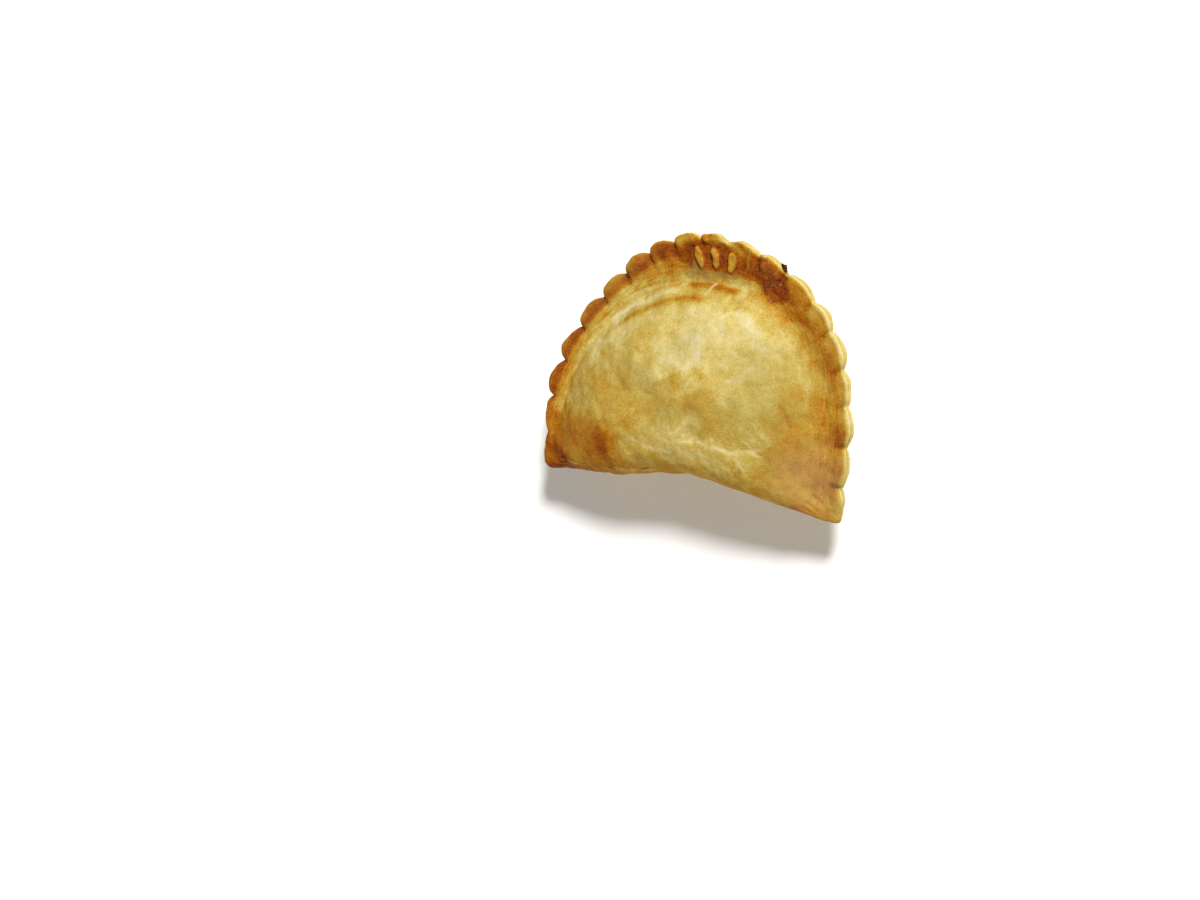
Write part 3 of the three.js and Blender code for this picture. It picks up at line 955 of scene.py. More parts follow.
SHOW_THROUGH_AND_SHADE = Patches((
    Patch("foot of the panel", -3, 75.2, 10, 2.2, 1.0, 0, 0.5),
    Patch("dent of the top", -4, 50.5, 7, 4, 0.5, 0, 0.7),
    # Painted shade: an olive band along the diagonal valley between lumps, left of the middle.
    Patch("diagonal dent", -17, 39.8, 14, 3.2, 0.45, -22, 0.7),
    Patch("right half", 29, 44, 15, 13, 0.65, -20, 0.7),
    Patch("lower right", 34, 27, 13, 9, 0.5, 0, 0.8),
    Patch("right corner", 46, 15, 9, 8, 0.3, 0, 0.8),
    Patch("middle", 5, 29, 14, 6, 0.55, 10, 0.8),
    Patch("left of the middle", -18, 38, 9, 5, 0.25, 20, 0.8),
), 51, wander=1.0, fray=0.25)


@dataclass(frozen=True)
class Bake:
    """What the oven did: where the dough browned, split and dried, with some painted shade and highlights.
    """

    browned: Patches = BROWNED
    brown_and_shaded_corner: Patches = BROWN_AND_SHADED_CORNER
    brown_rim: Patches = BROWN_RIM
    toasted: Patches = TOASTED
    dried: Patches = DRIED
    show_through_and_shade: Patches = SHOW_THROUGH_AND_SHADE
    strokes: Strokes = Strokes()
    clouds: tuple[Unevenness, ...] = (
        Unevenness(21, 26.0, 0.02, Waves.SOME),
        Unevenness(22, 8.0, 0.018, Waves.SOME),
        Unevenness(24, 4.0, 0.01, Waves.SOME),
    )
    crown_tone: float = 0.285
    darkest: float = 0.81
    lobe: Stations = Stations(0.64, 0.62, 0.54, 0.57, 0.66, 0.53, 0.47, 0.47, 0.47)
    band: Stations = Stations(0.54, 0.56, 0.26, 0.5, 0.72, 0.66, 0.52, 0.43, 0.42)
    # The valley's tone; its darker tone on the right of the arch is painted shade in the valley.
    valley: Stations = Stations(0.46, 0.4, 0.13, 0.26, 0.3, 0.5, 0.42, 0.38, 0.44)
    # A pale lip along the outer edge, mostly on the right: partly the real pale cut edge, partly a painted
    # highlight.
    lip_and_highlight_share: Stations = Stations(0.0, 0.05, 0.15, 0.2, 0.4, 0.9, 1.0, 0.7, 0.5)
    dull: Stations = Stations(0.05, 0.1, 0.3, 0.1, 0.0, 0.0, 0.1, 0.25, 0.4)
    # Painted shade in the crease where the scallops meet the pressed band, strongest on the upper left.
    crease: Stations = Stations(0.2, 0.7, 1.0, 0.8, 0.0, 0.1, 0.3, 0.35, 0.2)
    band_edge: Pair = (-0.5, 2.5)
    valley_width: float = 2.2
    # Tone and width of that pale lip, which is partly a painted highlight.
    lip_and_highlight_tone: float = 0.1
    lip_and_highlight_width: float = 0.75
    # Painted shade in each crimp groove.
    crimp_shade: float = 0.15
    # Painted shade on the inner part of the scallops by that crease.
    lobe_inner_shade: float = 0.2
    lobe_variety: Unevenness = Unevenness(23, 14.0, 0.03)
    lobe_softer: float = 0.5
    # Painted highlight where each scallop laps over the last one, painted shade at its end.
    lap_shading: float = -0.12
    # Painted shade along the crease itself.
    crease_shade_change: float = 0.07
    crease_shade_width: float = 0.05
    streaks: Unevenness = Unevenness(25, 1.0, 0.04, Waves.MANY)
    streak_size: Pair = (9.0, 0.8)
    streaks_at: float = -2.0
    streaks_width: float = 4.0
    # Browner along the fold: partly real browning, partly a painted warm glow of bounced light.
    fold_browning_and_glow: float = 0.11
    fold_width: float = 2.4
    grain_tone: float = 0.35
    grain_top: Pair = (0.2, 0.9)
    grain_ring: float = 0.08
    toast_edge: Pair = (0.08, 0.15)
    cut_tone: float = 0.04
    lower_layer_change: float = 0.14
    lower_layer_edge: Pair = (0.3, 0.55)
    seam_change: float = 0.24
    seam_width: float = 0.13
    cut_foot_change: float = 0.12
    cut_foot_width: float = 0.16
    under_tone: float = 0.16
    ring_change: float = 0.12
    ring_height: float = 1.0
    ring_width: float = 1.2
    wall_pales: Pair = (0.5, 12.0)

    def patchiness(self, place: Place) -> Array:
        """The slow cloudy unevenness of the browning."""
        return sum(cloud.at(place.x, place.y) for cloud in self.clouds)

    def plain_tone(self, rim: Rim, place: Place) -> Array:
        """Browning of the crown, the pressed band, the scallops and their lip, with painted shade and
        highlights, before the patches.

        Args:
            rim: the crimped rim.
            place: the points of the plan.

        Returns:
            Browning from 0, raw, to 1, burnt.
        """
        inside = place.arch - place.rim_width
        past = rim.past_scallops(place)
        # Strength of the painted shade in the crease.
        crease_shading = self.crease.at(place) * place.rim_share
        tone = np.full_like(place.x, self.crown_tone)
        tone = lerp(tone, self.band.at(place), smooth(-inside, *self.band_edge) * place.rim_share)
        # Painted shade: the valley is darker on the right of the arch.
        tone = lerp(tone, self.valley.at(place), bell(inside, self.valley_width) * place.rim_share)
        # Random tone of the scallops, plus their painted light and shade.
        variety_and_shade = self.lobe_variety.at(place.along, place.arch)
        # Painted highlight where a scallop laps over the last one, painted shade at its end.
        variety_and_shade += self.lap_shading * place.lap * (1.0 - place.panel)
        # Painted shade on the inner part of the scallops by the crease.
        variety_and_shade += self.lobe_inner_shade * crease_shading * smooth(past, -min(rim.scallop_share), 0.0)
        outer = rim.outer(place, self.lobe_softer)
        tone = lerp(tone, self.lobe.at(place) + variety_and_shade, outer * place.rim_share)
        tone += self.crease_shade_change * crease_shading * bell(past, self.crease_shade_width)
        streaks = self.streaks.at(place.along / self.streak_size[0], place.arch / self.streak_size[1])
        tone += streaks * bell(inside - self.streaks_at, self.streaks_width) * place.rim_share
        # Painted shade in the crimp grooves.
        tone += self.crimp_shade * rim.crimp(place) * place.rim_share * (1.0 - place.panel)
        # The pale lip: partly the real pale edge, partly a painted highlight on the lit right side.
        lip = bell(place.edge, self.lip_and_highlight_width) * self.lip_and_highlight_share.at(place)
        return lerp(tone, self.lip_and_highlight_tone, lip * place.rim_share)

    def over(self, rim: Rim, panel: Panel, place: Place) -> Array:
        """Browning of the upper face, with painted shade and highlights.

        Args:
            rim: the crimped rim.
            panel: its pressed panel.
            place: the points of the plan.

        Returns:
            Browning from 0, raw, to 1, burnt.
        """
        tone = self.plain_tone(rim, place)
        # Browner along the fold: partly real browning, partly painted bounced light.
        tone += self.fold_browning_and_glow * bell(place.fold, self.fold_width)
        grains = np.clip(panel.grains(place), 0.0, 1.0)
        tone += self.grain_ring * 4.0 * grains * (1.0 - grains)
        tone = lerp(tone, self.grain_tone, smooth(grains, *self.grain_top))
        groups = (self.browned, self.brown_and_shaded_corner, self.brown_rim, self.toasted)
        patches = sum(group.at(place.x, place.y) for group in groups)
        return np.minimum(tone + patches + self.patchiness(place), self.darkest)

    def toast(self, place: Place) -> Array:
        """Where the dough is toasted: freckled, blistered and glossy."""
        return smooth(self.toasted.at(place.x, place.y), *self.toast_edge)

    def through(self, rim: Rim, place: Place) -> Array:
        """How far the filling's dull green shows through the upper face or dusts the scallops; one olive
        patch is painted shade.
        """
        dusted = self.dull.at(place) * rim.outer(place) * place.rim_share
        return np.clip(np.maximum(self.show_through_and_shade.at(place.x, place.y), dusted), 0.0, 1.0)

    def cut(self, rim: Rim, place: Place, level: Array) -> Array:
        """Browning of the rim's cut side, with the seam between its two layers.

        Args:
            rim: the crimped rim.
            place: the points of the plan.
            level: how far up the side each point is, from 0 to 1.

        Returns:
            Browning from 0, raw, to 1, burnt.
        """
        seam = self.seam_change * bell(level - rim.seam_level, self.seam_width)
        foot = self.cut_foot_change * bell(level, self.cut_foot_width)
        lower = self.lower_layer_change * (1.0 - smooth(level, *self.lower_layer_edge))
        return self.cut_tone + (seam + foot) + lower + self.patchiness(place)

    def down_wall(self, place: Place, height: Array) -> Array:
        """How far the upper face's bake carries on down the fold's wall before it pales."""
        return (1.0 - place.sealed) * smooth(height, *self.wall_pales)

    def under(self, place: Place, height: Array) -> Array:
        """Browning of the underside: pale, with a darker ring where it meets the tray."""
        ring = self.ring_change * bell(height - self.ring_height, self.ring_width)
        return self.under_tone + ring + self.patchiness(place)


class Mark(Enum):
    """What the bake left at each point, under the names that the finish reads."""

    # Browning also carries painted shade and highlights, and the filling mark one patch of painted shade.
    BROWNING = "browning"
    SPLIT = "split"
    FILLING = "filling"
    TOAST = "toast"

    @property
    def socket(self) -> str:
        """The name of the mark's socket in the node groups."""
        return self.value.capitalize()


def mark_all(mesh: bpy.types.Mesh, marks: dict[Mark, Array]) -> None:
    """Writes the marks onto the points of a mesh.

    Args:
        mesh: the mesh.
        marks: values for each point; a mark that isn't given is 0 all over.
    """
    plain = np.zeros(len(mesh.vertices))
    for mark in Mark:
        layer = mesh.attributes.new(mark.value, "FLOAT", "POINT")
        layer.data.foreach_set("value", marks.get(mark, plain).astype(np.float32))


def put(name: str, data: bpy.types.ID) -> bpy.types.Object:
    """Puts a new object into the scene.

    Args:
        name: its name.
        data: its mesh, light or camera.

    Returns:
        The object.
    """
    item = bpy.data.objects.new(name, data)
    bpy.context.scene.collection.objects.link(item)
    return item


def new_piece(name: str, points: Array, faces: Sequence[Face]) -> bpy.types.Object:
    """Makes a smooth mesh and puts it into the scene.

    Args:
        name: the name of the piece.
        points: its points in millimetres, one row each.
        faces: its faces as tuples of point numbers.

    Returns:
        The piece.
    """
    mesh = bpy.data.meshes.new(name)
    mesh.from_pydata((points * MM).tolist(), [], faces)
    mesh.shade_smooth()
    return put(name, mesh)


def grid_faces(start: int, rows: int, columns: int, closed: bool) -> list[Face]:
    """Joins the rows of a grid of points by faces.

    Args:
        start: number of its first point.
        rows: how many rows it has.
        columns: how many points each row has.
        closed: whether the end of each row joins its start.

    Returns:
        Faces as tuples of point numbers.
    """
    faces: list[Face] = []
    for row in range(rows - 1):
        low = start + row * columns
        high = low + columns
        for k in range(columns if closed else columns - 1):
            after = (k + 1) % columns
            faces.append((low + k, low + after, high + after, high + k))
    return faces


class Skin(Enum):
    """Which skin of the pastry a ring of points lies on."""

    UNDER = 0
    SIDE = 1
    OVER = 2


@dataclass(frozen=True)
class Span:
    """A run of rings with the same number of points."""

    skin: Skin
    start: float
    stop: float
    rings: int
    points: int
    crowding: float = 1.0

    def levels(self) -> Array:
        """Where each ring lies, as a share of the way from the hub, or up the side."""
        share = np.linspace(0.0, 1.0, self.rings) ** self.crowding
        return lerp(self.start, self.stop, share)


@dataclass
class Crust:
    """The pastry as one closed skin, finer than its solid and of its form but for the band's low rib."""

    plan: Plan = Plan()
    rim: Rim = Rim()
    panel: Panel = Panel()
    crown: Crown = Crown()
    bake: Bake = Bake()
    name: str = "crust"
    centre: Array = field(default_factory=lambda: np.zeros(3))
    points_per_scallop: int = 24
    fold_points: int = 184
    scallop_ring: float = 0.84
    spans: tuple[Span, ...] = (
        Span(Skin.UNDER, 0.03, 0.10, 3, 80),
        Span(Skin.UNDER, 0.13, 0.30, 5, 160),
        Span(Skin.UNDER, 0.34, 0.70, 11, 320),
        Span(Skin.UNDER, 0.72, 0.99, 16, 640),
        Span(Skin.SIDE, 0.0, 1.0, 15, 640),
        Span(Skin.OVER, 0.998, 0.76, 44, 640, 1.25),
        Span(Skin.OVER, 0.752, 0.42, 40, 640),
        Span(Skin.OVER, 0.41, 0.22, 15, 320),
        Span(Skin.OVER, 0.205, 0.10, 8, 160),
        Span(Skin.OVER, 0.085, 0.03, 4, 80),
    )
    puckers: tuple[Unevenness, ...] = (
        Unevenness(31, 9.5, 0.15, Waves.MANY),
        Unevenness(34, 5.6, 0.05, Waves.MANY),
        Unevenness(32, 3.4, 0.05, Waves.MANY),
    )
    wrinkles: Unevenness = Unevenness(33, 3.6, waves=Waves.MANY)
    panel_wrinkle: float = 0.2
    panel_wrinkle_inset: float = 4.0
    panel_wrinkle_reach: float = 5.0
    toast_wrinkle: float = 0.19
    plain_foot: float = 3.0

    @property
    def round_points(self) -> int:
        """Points round the outline."""
        return self.plan.scallops * self.points_per_scallop + self.fold_points

    def rays(self) -> tuple[Array, Array]:
        """Unit rays from the hub: over the arch from the right tip, then back along the fold.

        Returns:
            Their x and y parts.
        """
        on_rim = self.plan.scallops * self.points_per_scallop
        along = self.plan.half_arch - np.arange(on_rim) * self.plan.pitch / self.points_per_scallop
        rim_x, rim_y = self.plan.arch_point(along)
        fold_x = self.plan.half * (2.0 * np.arange(self.fold_points) / self.fold_points - 1.0)
        x = np.concatenate([rim_x, fold_x])
        y = np.concatenate([rim_y, self.plan.fold_line(fold_x)]) - self.plan.hub
        length = np.hypot(x, y)
        return x / length, y / length

    def lay_points(self) -> tuple[Array, Array, Array, Array, list[int]]:
        """Lays the rings of points in the plan.

        Returns:
            x, y, skin and level of each point, and how many points each ring has.
        """
        ray_x, ray_y = self.rays()
        plain = self.plan.reach(ray_x, ray_y, 0.0)
        notched = self.plan.reach(ray_x, ray_y, 1.0)
        rim_place = self.plan.place(ray_x * notched, self.plan.hub + ray_y * notched)
        xs, ys, skins, levels, counts = [], [], [], [], []
        for span in self.spans:
            pick = slice(None, None, self.round_points // span.points)
            for level in span.levels():
                if span.skin is Skin.SIDE:
                    seam = bell(np.array(level - self.rim.seam_level), self.rim.seam_reach)
                    radius = notched - self.rim.seam_depth * rim_place.sealed * seam
                else:
                    share = smooth(np.array(level), self.scallop_ring, 1.0)
                    radius = lerp(plain, notched, share) * level
                xs.append((ray_x * radius)[pick])
                ys.append((self.plan.hub + ray_y * radius)[pick])
                skins.append(np.full(span.points, span.skin.value))
                levels.append(np.full(span.points, level))
                counts.append(span.points)
        for skin in (Skin.UNDER, Skin.OVER):
            xs.append(np.zeros(1))
            ys.append(np.full(1, self.plan.hub))
            skins.append(np.full(1, skin.value))
            levels.append(np.zeros(1))
        joined = (np.concatenate(parts) for parts in (xs, ys, skins, levels))
        return (*joined, counts)

    def faces(self, counts: Sequence[int]) -> list[Face]:
        """Joins the rings by faces.

        Args:
            counts: how many points each ring has.

        Returns:
            Faces as tuples of point numbers, all facing out.
        """
        faces: list[Face] = []
        starts = np.concatenate([[0], np.cumsum(counts)]).tolist()
        for ring in range(len(counts) - 1):
            low, high = starts[ring], starts[ring + 1]
            few, many = counts[ring], counts[ring + 1]
            faces += self.strip(low, few, high, many)
        total = starts[-1]
        last = starts[-2]
        first_count, last_count = counts[0], counts[-1]
        faces += [(total, (k + 1) % first_count, k) for k in range(first_count)]
        faces += [(total + 1, last + k, last + (k + 1) % last_count) for k in range(last_count)]
        return faces

    def strip(self, low: int, low_count: int, high: int, high_count: int) -> list[Face]:
        """Faces between two rings of which one may have twice the points of the other.

        Args:
            low: first point of the lower ring.
            low_count: points of the lower ring.
            high: first point of the upper ring.
            high_count: points of the upper ring.

        Returns:
            Faces as tuples of point numbers.
        """
        faces: list[Face] = []
        steps = min(low_count, high_count)
        for k in range(steps):
            after = (k + 1) % steps
            if low_count == high_count:
                faces.append((low + k, low + after, high + after, high + k))
                continue
            middle = 2 * k + 1
            end = (2 * k + 2) % (2 * steps)
            if low_count > high_count:
                faces.append((low + 2 * k, low + middle, high + k))
                faces.append((low + middle, high + after, high + k))
                faces.append((low + middle, low + end, high + after))
            else:
                faces.append((low + k, high + middle, high + 2 * k))
                faces.append((low + k, low + after, high + middle))
                faces.append((low + after, high + end, high + middle))
        return faces

    def heights(self, place: Place, skin: Array, level: Array) -> Array:
        """Height of each point above the table.

        Args:
            place: the points of the plan.
            skin: which skin each point is on.
            level: how far up the side each side point is.

        Returns:
            Heights in millimetres.
        """
        raised = self.rim.raised(place)
        drop = self.rim.edge_drop(place)
        puff = self.crown.share(place) * (self.crown.height - self.rim.top + self.crown.bumps(place))
        over = self.rim.top + raised + self.rim.relief(self.panel, place) + puff - drop
        under = np.maximum(0.0, self.rim.underside + raised - self.crown.sunk(self.rim, place) + drop)
        rise = np.select([skin == Skin.UNDER.value, skin == Skin.OVER.value], [0.0, 1.0], level)
        return lerp(under, over, rise)

    def on_top(self, x: Array, y: Array) -> Array:
        """Points of the upper face over points of the plan.

        Args:
            x: plan coordinate along the fold.
            y: plan coordinate from the fold to the arch.

        Returns:
            Points in millimetres, in the frame of the built piece.
        """
        skin = np.full_like(x, Skin.OVER.value)
        z = self.heights(self.plan.place(x, y), skin, np.ones_like(x))
        return np.stack([self.plan.leaning(x, y), y, z], -1) - self.centre

    def browning(self, x: Array, y: Array) -> Array:
        """Browning of the upper face over points of the plan."""
        return self.bake.over(self.rim, self.panel, self.plan.place(x, y))

    def build(self) -> bpy.types.Object:
        """Makes the skin, its fine relief and the bake's marks, and puts it where the solid is.

        Returns:
            The piece.
        """
        x, y, skin, level, counts = self.lay_points()
        place = self.plan.place(x, y)
        z = self.heights(place, skin, level)
        points = np.stack([self.plan.leaning(x, y), y, z], 1)
        low, high = points.min(0), points.max(0)
        self.centre = np.array([(low[0] + high[0]) / 2.0, (low[1] + high[1]) / 2.0, low[2]])
        points -= self.centre
        piece = new_piece(self.name, points, self.faces(counts))
        worked = self.worked(place, skin)
        marks = self.marks(place, z, skin, level, worked)
        self.emboss(piece.data, points, self.push(place, z, marks[Mark.TOAST]) + worked["relief"])
        mark_all(piece.data, marks)
        return piece

    def worked(self, place: Place, skin: Array) -> dict[str, Array]:
        """What the strokes add to the upper face, fading out before the fold.

        Args:
            place: the points of the plan.
            skin: which skin each is on.

        Returns:
            Arrays under the names relief, change and parted.
        """
        level_face = (skin == Skin.OVER.value) * smooth(place.fold, *self.bake.strokes.fold_fade)
        strokes = self.bake.strokes.work(place.x, place.y)
        return {name: value * level_face for name, value in strokes.items()}

    def marks(self, place: Place, z: Array, skin: Array, level: Array,
              worked: dict[str, Array]) -> dict[Mark, Array]:
        """The bake's marks at each point.

        Args:
            place: the points of the plan.
            z: their heights.
            skin: which skin each is on.
            level: how far up the side each side point is.
            worked: what the strokes add.

        Returns:
            Values from 0 to 1 for each mark.
        """
        on_top = skin == Skin.OVER.value
        below = skin == Skin.UNDER.value
        down = np.where(on_top, 0.0, (1.0 - place.sealed) * np.maximum(0.0, self.rim.top - z))
        laid = replace(place, y=place.y - down)
        over = self.bake.over(self.rim, self.panel, laid) + worked["change"]
        hidden = np.where(below, self.bake.under(place, z), self.bake.cut(self.rim, place, level))
        shown = np.select([on_top, below], [1.0, self.bake.down_wall(place, z)], 1.0 - place.sealed)
        parted = np.maximum(worked["parted"], self.bake.dried.at(laid.x, laid.y))
        return {
            Mark.BROWNING: np.clip(lerp(hidden, over, shown), 0.0, 1.0),
            Mark.SPLIT: parted * shown,
            Mark.FILLING: self.bake.through(self.rim, laid) * shown,
            Mark.TOAST: self.bake.toast(laid) * shown,
        }

    def push(self, place: Place, z: Array, toast: Array) -> Array:
        """The small puckers and wrinkles that the solid leaves out.

        Args:
            place: the points of the plan.
            z: their heights.
            toast: how far each is toasted.

        Returns:
            How far each point moves along its normal.
        """
        near_panel = bell(place.arch - self.panel_wrinkle_inset, self.panel_wrinkle_reach)
        lumpy = np.maximum(self.panel_wrinkle * place.panel * near_panel, self.toast_wrinkle * toast)
        puckers = sum(layer.at(place.x, place.y, z) for layer in self.puckers)
        wrinkles = lumpy * self.wrinkles.at(place.x, place.y)
        return (puckers + wrinkles) * smooth(z, 0.0, self.plain_foot)

    def emboss(self, mesh: bpy.types.Mesh, points: Array, push: Array) -> None:
        """Moves the points of the skin along their normals.

        Args:
            mesh: the skin before its fine relief.
            points: its points, in millimetres.
            push: how far each one moves.
        """
        normals = np.zeros(len(points) * 3, np.float32)
        mesh.vertex_normals.foreach_get("vector", normals)
        moved = points + normals.reshape(-1, 3) * push[:, None]
        mesh.vertices.foreach_set("co", (moved * MM).astype(np.float32).ravel())
        mesh.update()


@dataclass(frozen=True)
class Flakes:
    """Thin flakes of the crust that curl up along the left of the fold."""

    name: str = "flakes"
    seed: int = 61
    count: int = 20
    course: tuple[Pair, ...] = ((-52, 3.6), (-36, 5), (-22, 6.2), (-6, 9.4))
    spread: float = 0.4
    clear: float = 1.5
    change: float = -0.06
    variety: float = 0.05
    length: Pair = (2.5, 7.0)
    width: Pair = (0.4, 0.9)
    blunt: float = 0.05
    curl: Pair = (0.08, 0.3)
    bed: float = 0.03
    turn: float = 0.12
    steps: tuple[int, int] = (11, 4)

    def build(self, crust: Crust) -> bpy.types.Object:
        """Makes every flake as part of one mesh.

        Args:
            crust: the pastry that they lie on, already built.

        Returns:
            The piece.
        """
        rng = np.random.default_rng(self.seed)
        course = rounded(np.array(self.course, float))
        points, faces, tones = [], [], []
        for _ in range(self.count):
            index = rng.integers(0, len(course) - 1)
            stretch = course[index + 1] - course[index]
            spot = lerp(course[index], course[index + 1], rng.uniform())
            spot = spot + rng.normal(size=2) * self.spread
            spot[1] = max(spot[1], crust.plan.fold_line(spot[0]) + self.clear)
            sheet = self.sheet(rng, crust, spot, math.atan2(stretch[1], stretch[0]))
            tone = crust.browning(spot[:1], spot[1:]) + self.change + rng.normal() * self.variety
            faces += grid_faces(len(points), *self.steps, closed=False)
            points.extend(sheet)
            tones.extend([float(tone[0])] * len(sheet))
        piece = new_piece(self.name, np.array(points), faces)
        mark_all(piece.data, {Mark.BROWNING: np.clip(np.array(tones), 0.0, 1.0)})
        return piece

    def sheet(self, rng: np.random.Generator, crust: Crust, spot: Array, heading: float) -> Array:
        """One flake: a thin leaf on the face, pointed at both ends, with one long edge curled up.

        Args:
            rng: the seeded source of its size.
            crust: the pastry that it lies on.
            spot: its middle in the plan.
            heading: the way that the flakes' course runs there.

        Returns:
            Its points, one row each.
        """
        angle = heading + rng.normal() * self.turn
        long = rng.uniform(*self.length) / 2.0
        wide = rng.uniform(*self.width) / 2.0
        along, across = np.meshgrid(*(np.linspace(-1.0, 1.0, count) for count in self.steps), indexing="ij")
        taper = np.sqrt(np.maximum(0.0, 1.0 - along**2)) + self.blunt
        step_x, step_y = turned(along * long, across * wide * taper, angle)
        side = rng.choice((-1.0, 1.0))
        lifted = crust.on_top(spot[0] + step_x, spot[1] + step_y)
        lifted[..., 2] += self.bed + rng.uniform(*self.curl) * ((1.0 + side * across) / 2.0) ** 2 * taper
        return lifted.reshape(-1, 3)


@dataclass(frozen=True)
class CharredBit:
    """A small charred bit of filling that clings to the outer edge of the rim."""

    name: str = "charred_bit"
    x: float = 25.9
    y: float = 81.1
    sizes: Triple = (1.25, 1.15, 0.7)
    turn: float = -0.5
    rough: Unevenness = Unevenness(62, 0.9, 0.18, Waves.SOME)
    tone: float = 0.95
    points_round: int = 28
    rings: int = 15

    def build(self, crust: Crust) -> bpy.types.Object:
        """Makes the bit on the edge of the crust.

        Args:
            crust: the pastry, already built.

        Returns:
            The piece.
        """
        turns = np.linspace(0.0, math.tau, self.points_round, endpoint=False)
        tilts = np.linspace(-math.pi / 2.0, math.pi / 2.0, self.rings)
        tilt, turn = np.meshgrid(tilts, turns, indexing="ij")
        ball = np.stack([np.cos(tilt) * np.cos(turn), np.cos(tilt) * np.sin(turn), np.sin(tilt)], -1)
        lumpy = 1.0 + self.rough.at(*np.moveaxis(ball, -1, 0))
        shaped = ball * np.array(self.sizes) * lumpy[..., None]
        x, y = turned(shaped[..., 0], shaped[..., 1], self.turn)
        spot = crust.on_top(np.array([self.x]), np.array([self.y]))[0]
        points = np.stack([x, y, shaped[..., 2]], -1).reshape(-1, 3) + spot
        piece = new_piece(self.name, points, grid_faces(0, self.rings, self.points_round, closed=True))
        whole = np.ones(len(points))
        mark_all(piece.data, {Mark.BROWNING: whole * self.tone, Mark.TOAST: whole})
        return piece


# Numbers of the colour sockets of a Mix node
MIX_FIRST = 6
MIX_SECOND = 7
MIX_RESULT = 2


@dataclass(frozen=True)
class NodeBench:
    """Adds the nodes of one tree and wires them."""

    tree: bpy.types.NodeTree
    noise_detail: float = 4.0
    noise_roughness: float = 0.6

    def feed(self, target: Socket, value: object) -> None:
        """Wires a socket to another one, or sets it to a plain value.

        Args:
            target: the input socket.
            value: the output socket that feeds it, or its value.
        """
        if isinstance(value, Socket):
            self.tree.links.new(value, target)
        else:
            target.default_value = value

    def add(self, kind: str, inputs: dict[str | int, object] | None = None,
            **settings: object) -> bpy.types.Node:
        """Adds a node.

        Args:
            kind: the node's type.
            inputs: sockets or values for its inputs, by name or number.
            settings: values for its own settings.

        Returns:
            The new node.
        """
        node = self.tree.nodes.new(kind)
        for name, value in settings.items():
            setattr(node, name, value)
        for name, value in (inputs or {}).items():
            self.feed(node.inputs[name], value)
        return node

    def sum(self, operation: str, first: Socket, second: object) -> Socket:
        """The result of a Math node, whose second value is a socket or a number."""
        return self.add("ShaderNodeMath", {0: first, 1: second}, operation=operation).outputs[0]

    def blend(self, share: Socket, first: object, second: object) -> Socket:
        """A mix of two colours, each a socket or a plain colour, by the second one's share."""
        inputs = {"Factor": share, MIX_FIRST: first, MIX_SECOND: second}
        return self.add("ShaderNodeMix", inputs, data_type="RGBA").outputs[MIX_RESULT]

    def on_object(self, kind: str, size: float, **inputs: object) -> bpy.types.Node:
        """A texture fixed to the object, with features of a size in millimetres."""
        where = self.add("ShaderNodeTexCoord").outputs["Object"]
        return self.add(kind, {"Vector": where, "Scale": 1.0 / (size * MM), **inputs})

    def noise(self, size: float, distortion: float = 0.0) -> Socket:
        """Noise round a middle of 0.5, with lumps of a size in millimetres."""
        looks = {"Detail": self.noise_detail, "Roughness": self.noise_roughness, "Distortion": distortion}
        return self.on_object("ShaderNodeTexNoise", size, **looks).outputs["Fac"]

    def swing(self, size: float, distortion: float = 0.0) -> Socket:
        """The same noise round a middle of 0."""
        return self.sum("SUBTRACT", self.noise(size, distortion), 0.5)

    def ranged(self, value: Socket, within: Pair, onto: Pair) -> Socket:
        """Maps a range of values onto another one.

        Args:
            value: the socket of the value.
            within: the range that it is read in.
            onto: what the ends of that range become.

        Returns:
            The socket of the mapped value.
        """
        limits = {"From Min": within[0], "From Max": within[1], "To Min": onto[0], "To Max": onto[1]}
        return self.add("ShaderNodeMapRange", {"Value": value, **limits}).outputs["Result"]


def new_group(name: str, inputs: Sequence[str], outputs: dict[str, str]) -> bpy.types.NodeTree:
    """Makes an empty node group.

    Args:
        name: its name.
        inputs: the names of the numbers that it takes.
        outputs: the kind of each socket that it gives, by name.

    Returns:
        The group.
    """
    group = bpy.data.node_groups.new(name, "ShaderNodeTree")
    for socket in inputs:
        group.interface.new_socket(socket, in_out="INPUT", socket_type="NodeSocketFloat")
    for socket, kind in outputs.items():
        group.interface.new_socket(socket, in_out="OUTPUT", socket_type=kind)
    return group


def new_material(name: str) -> bpy.types.Material:
    """Makes a material with a Principled shader.

    Args:
        name: its name.

    Returns:
        The material.
    """
    material = bpy.data.materials.new(name)
    material.use_nodes = True
    return material


def dress(material: bpy.types.Material, looks: dict[str, object]) -> None:
    """Wires or sets inputs of a material's Principled shader.

    Args:
        material: the material.
        looks: sockets or values for the shader's inputs, by name.
    """
    bench = NodeBench(material.node_tree)
    shader = material.node_tree.nodes["Principled BSDF"]
    for name, value in looks.items():
        bench.feed(shader.inputs[name], value)


def paint(hexes: str) -> Colour:
    """Reads a colour from its six hex digits.

    Args:
        hexes: the digits for red, green and blue.

    Returns:
        The renderer's linear values, with an alpha of 1.
    """
    parts = [int(hexes[k:k + 2], 16) / 255.0 for k in (0, 2, 4)]
    linear = [p / 12.92 if p <= 0.04045 else ((p + 0.055) / 1.055) ** 2.4 for p in parts]
    return (*linear, 1.0)


@dataclass(frozen=True)
class DoughColours:
    """The colour of the dough at each tone, and of what shows through it."""

    raw: str = "cfc29b"
    cream: str = "c9b877"
    straw: str = "bda657"
    gold: str = "ae8c35"
    amber: str = "a9731d"
    brown: str = "955312"
    toast: str = "78340a"
    burnt: str = "22110a"
    parted: str = "cfbd84"
    filling: str = "857a3e"

    def at(self, tone: Tone) -> Colour:
        """The colour of one tone."""
        return paint(getattr(self, tone.name.lower()))


